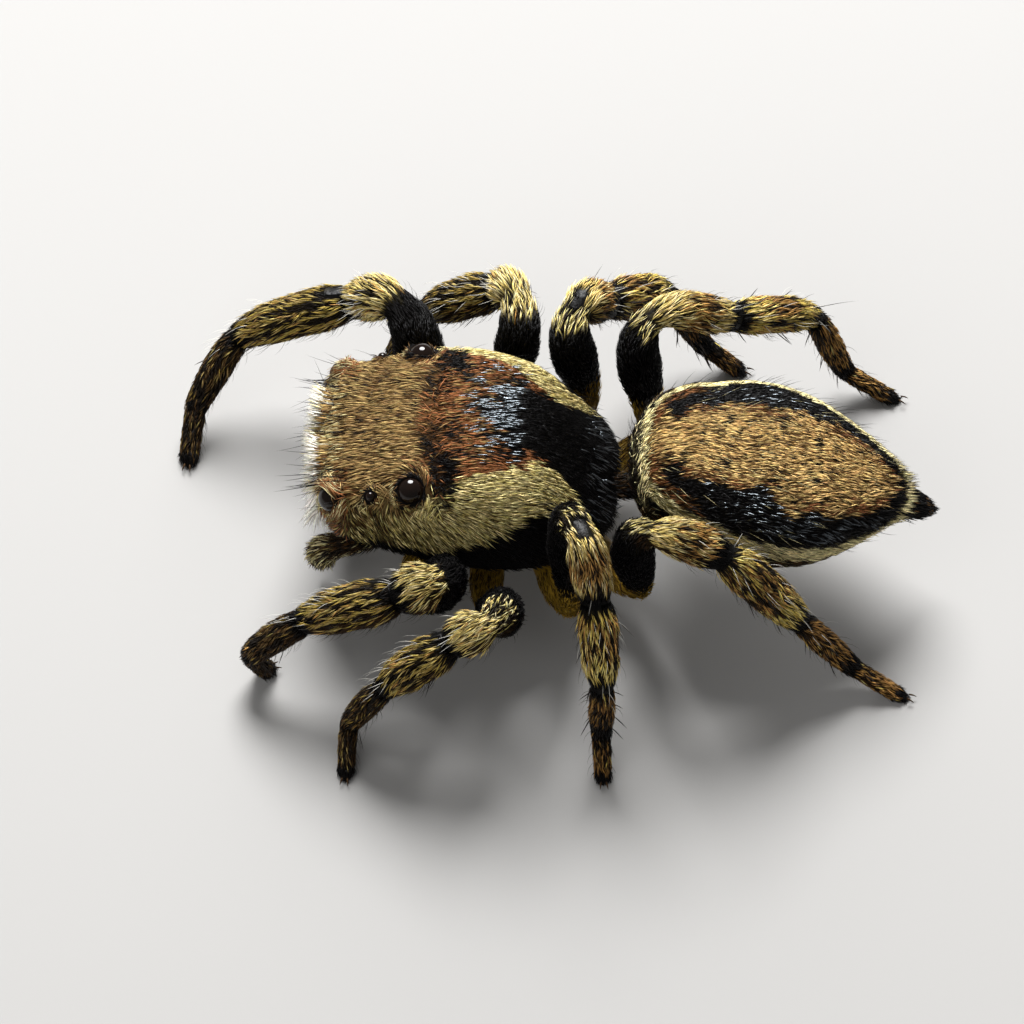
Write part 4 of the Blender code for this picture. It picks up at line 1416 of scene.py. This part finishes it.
def add_small_coat(kind, surface, ending=""):
    """Hairs on a small part, lying along it."""
    slot, density, length, lift, width = SMALL_COATS[kind]
    roots = scatter(surface, density)
    n = len(roots)
    lie = roots.along + jitter(n, 0.18)
    length, width = varied(length, (0.7, 1.3), n), varied(width, WIDTHS, n)
    lift = varied(lift, (0.5, 1.7), n) + 0.8 * ease(dot(roots.normal, roots.along)[:, 0], 0.4, 0.9)
    mane = Mane(f"coat_{kind}{ending}", slot)
    mane.add(roots, lie, length, width, lift, 0.6, small_layers(kind, roots.spot, roots.key[:, 0]))
    mane.finish(COAT)


def add_bristles(carapace):
    """The long black bristles that stand out of the coat of the head."""
    mane = Mane("bristles", "carapace_scales")
    roots = clear_of_eyes(scatter(carapace, DENSITIES["bristles"]), 1.05)
    x, y, z = abs(roots.spot[:, 0]), roots.spot[:, 1], roots.spot[:, 2]
    chance = RNG.random(len(roots))
    front = roots.keep((y < -1.40) & (z > 1.40) & (chance < 0.17))
    lie = -BACK + 0.4 * sideways(front) + jitter(len(front), 0.15)
    mane.add(front, lie, *TUFTS["front_bristles"])
    flank = roots.keep((y > -1.42) & (y < 0.75) & (x > 0.5) & (z > 1.2) & (chance < 0.022))
    lie = carapace_lie(flank) + jitter(len(flank), 0.2)
    mane.add(flank, lie, *TUFTS["flank_bristles"])
    mane.finish(COAT)


def add_abdomen_bristles(abdomen):
    """Bristles along the edge of the abdomen's top and over its front, and fine pale ones on the flank."""
    mane = Mane("bristles_abdomen", "abdomen_scales")
    roots = scatter(abdomen, DENSITIES["bristles"])
    _, y, z = rolled(roots.spot)
    above = z - margin_level(roots.spot)
    chance = RNG.random(len(roots))
    edge = roots.keep((above > -0.15) & (above < 0.20) & (chance < 0.09) & (y > 1.3))
    lie = BACK + 0.5 * sideways(edge) + jitter(len(edge), 0.15)
    mane.add(edge, lie, *TUFTS["edge_bristles"])
    front = roots.keep((y < 1.24) & (z > 1.35) & (chance < 0.55))
    lie = UP + 0.4 * BACK + jitter(len(front), 0.2)
    mane.add(front, lie, *TUFTS["waist_bristles"])
    pale = roots.keep((above > -0.05) & (above < 0.32) & (chance > 0.97) & (y > 1.3))
    lie = BACK + 0.5 * downward(pale) + jitter(len(pale), 0.12)
    mane.add(pale, lie, *TUFTS["pale_bristles"])
    mane.finish(COAT)


# How far a foot's two claws stand to its sides, ahead of its tip and above the floor.
CLAW_SPREAD, CLAW_AHEAD, CLAW_LEVEL = 0.024, 0.05, 0.06


def add_claws():
    """Two small hooked claws to each foot."""
    spots, headings = [], []
    for (side, _), joints in LEG_JOINTS.items():
        path = np.array(joints) * (SIDES[side], 1, 1)
        heading = unit((path[-1] - path[-2]) * (1, 1, 0))
        beside = np.cross(UP, heading)
        for shift in (-CLAW_SPREAD, CLAW_SPREAD):
            spots.append(path[-1] + heading * CLAW_AHEAD + beside * shift + UP * CLAW_LEVEL)
            headings.append(heading + beside * shift * 8)
    n = len(spots)
    roots = Roots(
        spot=np.array(spots), normal=np.tile(UP, (n, 1)), along=np.array(headings),
        key=np.zeros((n, 1)), u=np.full(n, 0.5), v=np.linspace(0.05, 0.95, n),
    )
    mane = Mane("claws", "cuticle")
    mane.add(roots, roots.along, *TUFTS["claws"])
    mane.finish(COAT)


def add_skin(parts):
    """One skin of all the body's and legs' surfaces, coloured as the coat over it, dull on the body."""
    points, faces, colours, dull, total = [], [], [], [], 0
    for surface, colour, coated in parts:
        rings, sides = surface.points.shape[:2]
        index = np.arange(rings * sides).reshape(rings, sides)
        a, b = index[:-1], np.roll(index, -1, axis=1)[:-1]
        c, d = np.roll(index, -1, axis=1)[1:], index[1:]
        order = (a, b, c, d) if surface.flipped else (a, d, c, b)
        faces.append(np.stack(order, axis=-1).reshape(-1, 4) + total)
        points.append(surface.points.reshape(-1, 3))
        colours.append(colour)
        dull.append(np.broadcast_to(coated, len(faces[-1])).astype(np.int32))
        total += rings * sides
    points, faces, colours, dull = map(np.concatenate, (points, faces, colours, dull))
    skin = new_mesh("skin", points, faces, colours, CUTICLE)
    skin.data.materials.append(UNDERSKIN)
    skin.data.polygons.foreach_set("material_index", dull)
    flesh = [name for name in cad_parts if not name.startswith("eye_")]
    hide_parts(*flesh)


def grid_colours(surface, layers_of):
    spots, normals = surface.points.reshape(-1, 3), surface.normal.reshape(-1, 3)
    return skin_colours(layers_of(spots, normals), len(spots))


def leg_skin(surface, side, number):
    """The colours of a leg's skin, and for each face whether a coat covers it."""
    rings, sides = surface.points.shape[:2]
    key = np.repeat(surface.key[:, 0], sides)
    v = np.tile(np.arange(sides) / sides, rings)
    spots = surface.points.reshape(-1, 3)
    lengths = piece_lengths(side, number)
    found = skin_colours(leg_layers(spots, key, v, number, lengths), len(spots), LEG_SHADE)
    base = (1 - ease(key, 0.95, 1.15 if number < 3 else 1.38))[:, None]
    bare = plates(key, v, number, lengths) + (key < 1.1)
    return found * (1 - base) + HONEY * base, (bare < 0.5)[:-sides]


def plain(surface, colour):
    return np.tile(colour, (surface.points.shape[0] * surface.points.shape[1], 1))


def add_eyes():
    for kind in EYES:
        for side, sign in SIDES.items():
            bpy.ops.mesh.primitive_uv_sphere_add(
                segments=64, ring_count=40, radius=EYES[kind][3] * MM,
                location=eye_centre(kind, sign) * MM + SHIFT,
            )
            eye = bpy.context.object
            eye.name = f"lens_{kind[4:]}_{side}"
            eye.data.shade_smooth()
            eye.data.materials.append(LENS)
            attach(eye, "root")
            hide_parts(f"{kind}_{side}")


# The studio. Lamps: name, the way toward it, size in mm, power in watts, and whether it shows as a glint.
LAMPS = (
    ("key", (-0.70, -0.08, 0.78), 40, 0.138, True),
    ("fill", (0.9, -0.7, 0.8), 80, 0.030, False),
    ("rim", (-0.85, -0.05, 0.50), 60, 0.050, False),
)
LAMP_DISTANCE = 70
FLOOR_COLOUR = (0.285, 0.28, 0.273, 1)
WORLD_LIGHT = 0.17


def add_studio():
    bpy.ops.mesh.primitive_plane_add(size=2.0)
    floor = bpy.context.object
    floor.name = "floor"
    floor.data.materials.append(new_material("studio_floor", floor_material))
    world = bpy.data.worlds.new("studio")
    bpy.context.scene.world = world
    world.use_nodes = True
    set_inputs(world.node_tree.nodes["Background"], Color=(1, 1, 1, 1), Strength=WORLD_LIGHT)
    for name, direction, size, power, glossy in LAMPS:
        light = bpy.data.lights.new(name, "AREA")
        light.shape = "DISK"
        light.size = size * MM
        light.energy = power
        lamp = bpy.data.objects.new(name, light)
        away = Vector(direction).normalized()
        lamp.location = away * LAMP_DISTANCE * MM
        lamp.rotation_euler = away.to_track_quat("Z", "Y").to_euler()
        lamp.visible_camera = False
        lamp.visible_glossy = glossy
        bpy.context.scene.collection.objects.link(lamp)
    bpy.context.scene.view_settings.view_transform = "Standard"


# The camera looks at the animal's left side from above, as in the photograph.
AZIMUTH, ELEVATION = np.radians(94), np.radians(56)
VIEW_CENTRE = np.array((-0.28, 0.0, 0.0))
VIEW_WIDTH = 9.2586
DISTANCE = 200


def add_camera():
    right = Vector((np.cos(AZIMUTH), np.sin(AZIMUTH), 0))
    back = Vector((
        np.sin(AZIMUTH) * np.cos(ELEVATION), -np.cos(AZIMUTH) * np.cos(ELEVATION), np.sin(ELEVATION),
    ))
    upward = back.cross(right)
    data = bpy.data.cameras.new("camera")
    data.sensor_width = 36
    data.lens = data.sensor_width * DISTANCE / VIEW_WIDTH
    data.clip_start, data.clip_end = 0.001, 10
    camera = bpy.data.objects.new("camera", data)
    spot = Vector(VIEW_CENTRE * MM + SHIFT) + back * DISTANCE * MM
    turn = Matrix((right, upward, back)).transposed().to_4x4()
    camera.matrix_world = Matrix.Translation(spot) @ turn
    bpy.context.scene.collection.objects.link(camera)
    bpy.context.scene.camera = camera


def build():
    carapace, abdomen = (body_surface(rows, BODY_COAT) for rows in (CARAPACE, ABDOMEN))
    sternum, mouthparts = (body_surface(rows, BARE, sides=40) for rows in (STERNUM, MOUTHPARTS))
    spinnerets = body_surface(SPINNERETS, SPINNERET_COAT, sides=32)
    pedicel = limb_surface(PEDICEL_PATH, 1, PEDICEL_SHAPE, BARE)
    # Each part of the skin: surface, colours and whether a close coat covers it.
    parts = [
        (carapace, grid_colours(carapace, carapace_layers), 1),
        (abdomen, grid_colours(abdomen, abdomen_layers), 1),
        (sternum, plain(sternum, SOOT), 0),
        (mouthparts, plain(mouthparts, BROWN), 0),
        (spinnerets, plain(spinnerets, BLACK), 1),
        (pedicel, plain(pedicel, BROWN * 0.10), 1),
    ]
    add_carapace(carapace)
    add_fringe(carapace)
    rims = [(kind, sign, collar_surface(kind, sign)) for kind in EYES for sign in SIDES.values()]
    parts += [(rim, plain(rim, BLACK), 1) for _, _, rim in rims]
    add_rims(rims)
    add_abdomen(abdomen)
    add_small_coat("sternum", sternum)
    add_small_coat("mouthparts", mouthparts)
    add_small_coat("spinnerets", spinnerets)
    add_small_coat("pedicel", pedicel)
    for side, sign in SIDES.items():
        jaw = limb_surface(CHELICERA_PATH, sign, CHELICERA_SHAPE, BARE)
        parts.append((jaw, plain(jaw, BROWN * 0.4), 0))
        add_small_coat("chelicera", jaw, f"_{side}")
        palp = limb_surface(PALP_PATH, sign, PALP_SHAPE, LEG_COAT)
        parts.append((palp, plain(palp, SOOT), 1))
        add_small_coat("palp", palp, f"_{side}")
        for number in LEG_GIRTH:
            leg = leg_surface(side, number, LEG_COAT)
            parts.append((leg, *leg_skin(leg, side, number)))
            add_leg(side, number, leg)
    add_bristles(carapace)
    add_abdomen_bristles(abdomen)
    add_claws()
    add_skin(parts)
    add_eyes()
    add_studio()
    add_camera()


build()
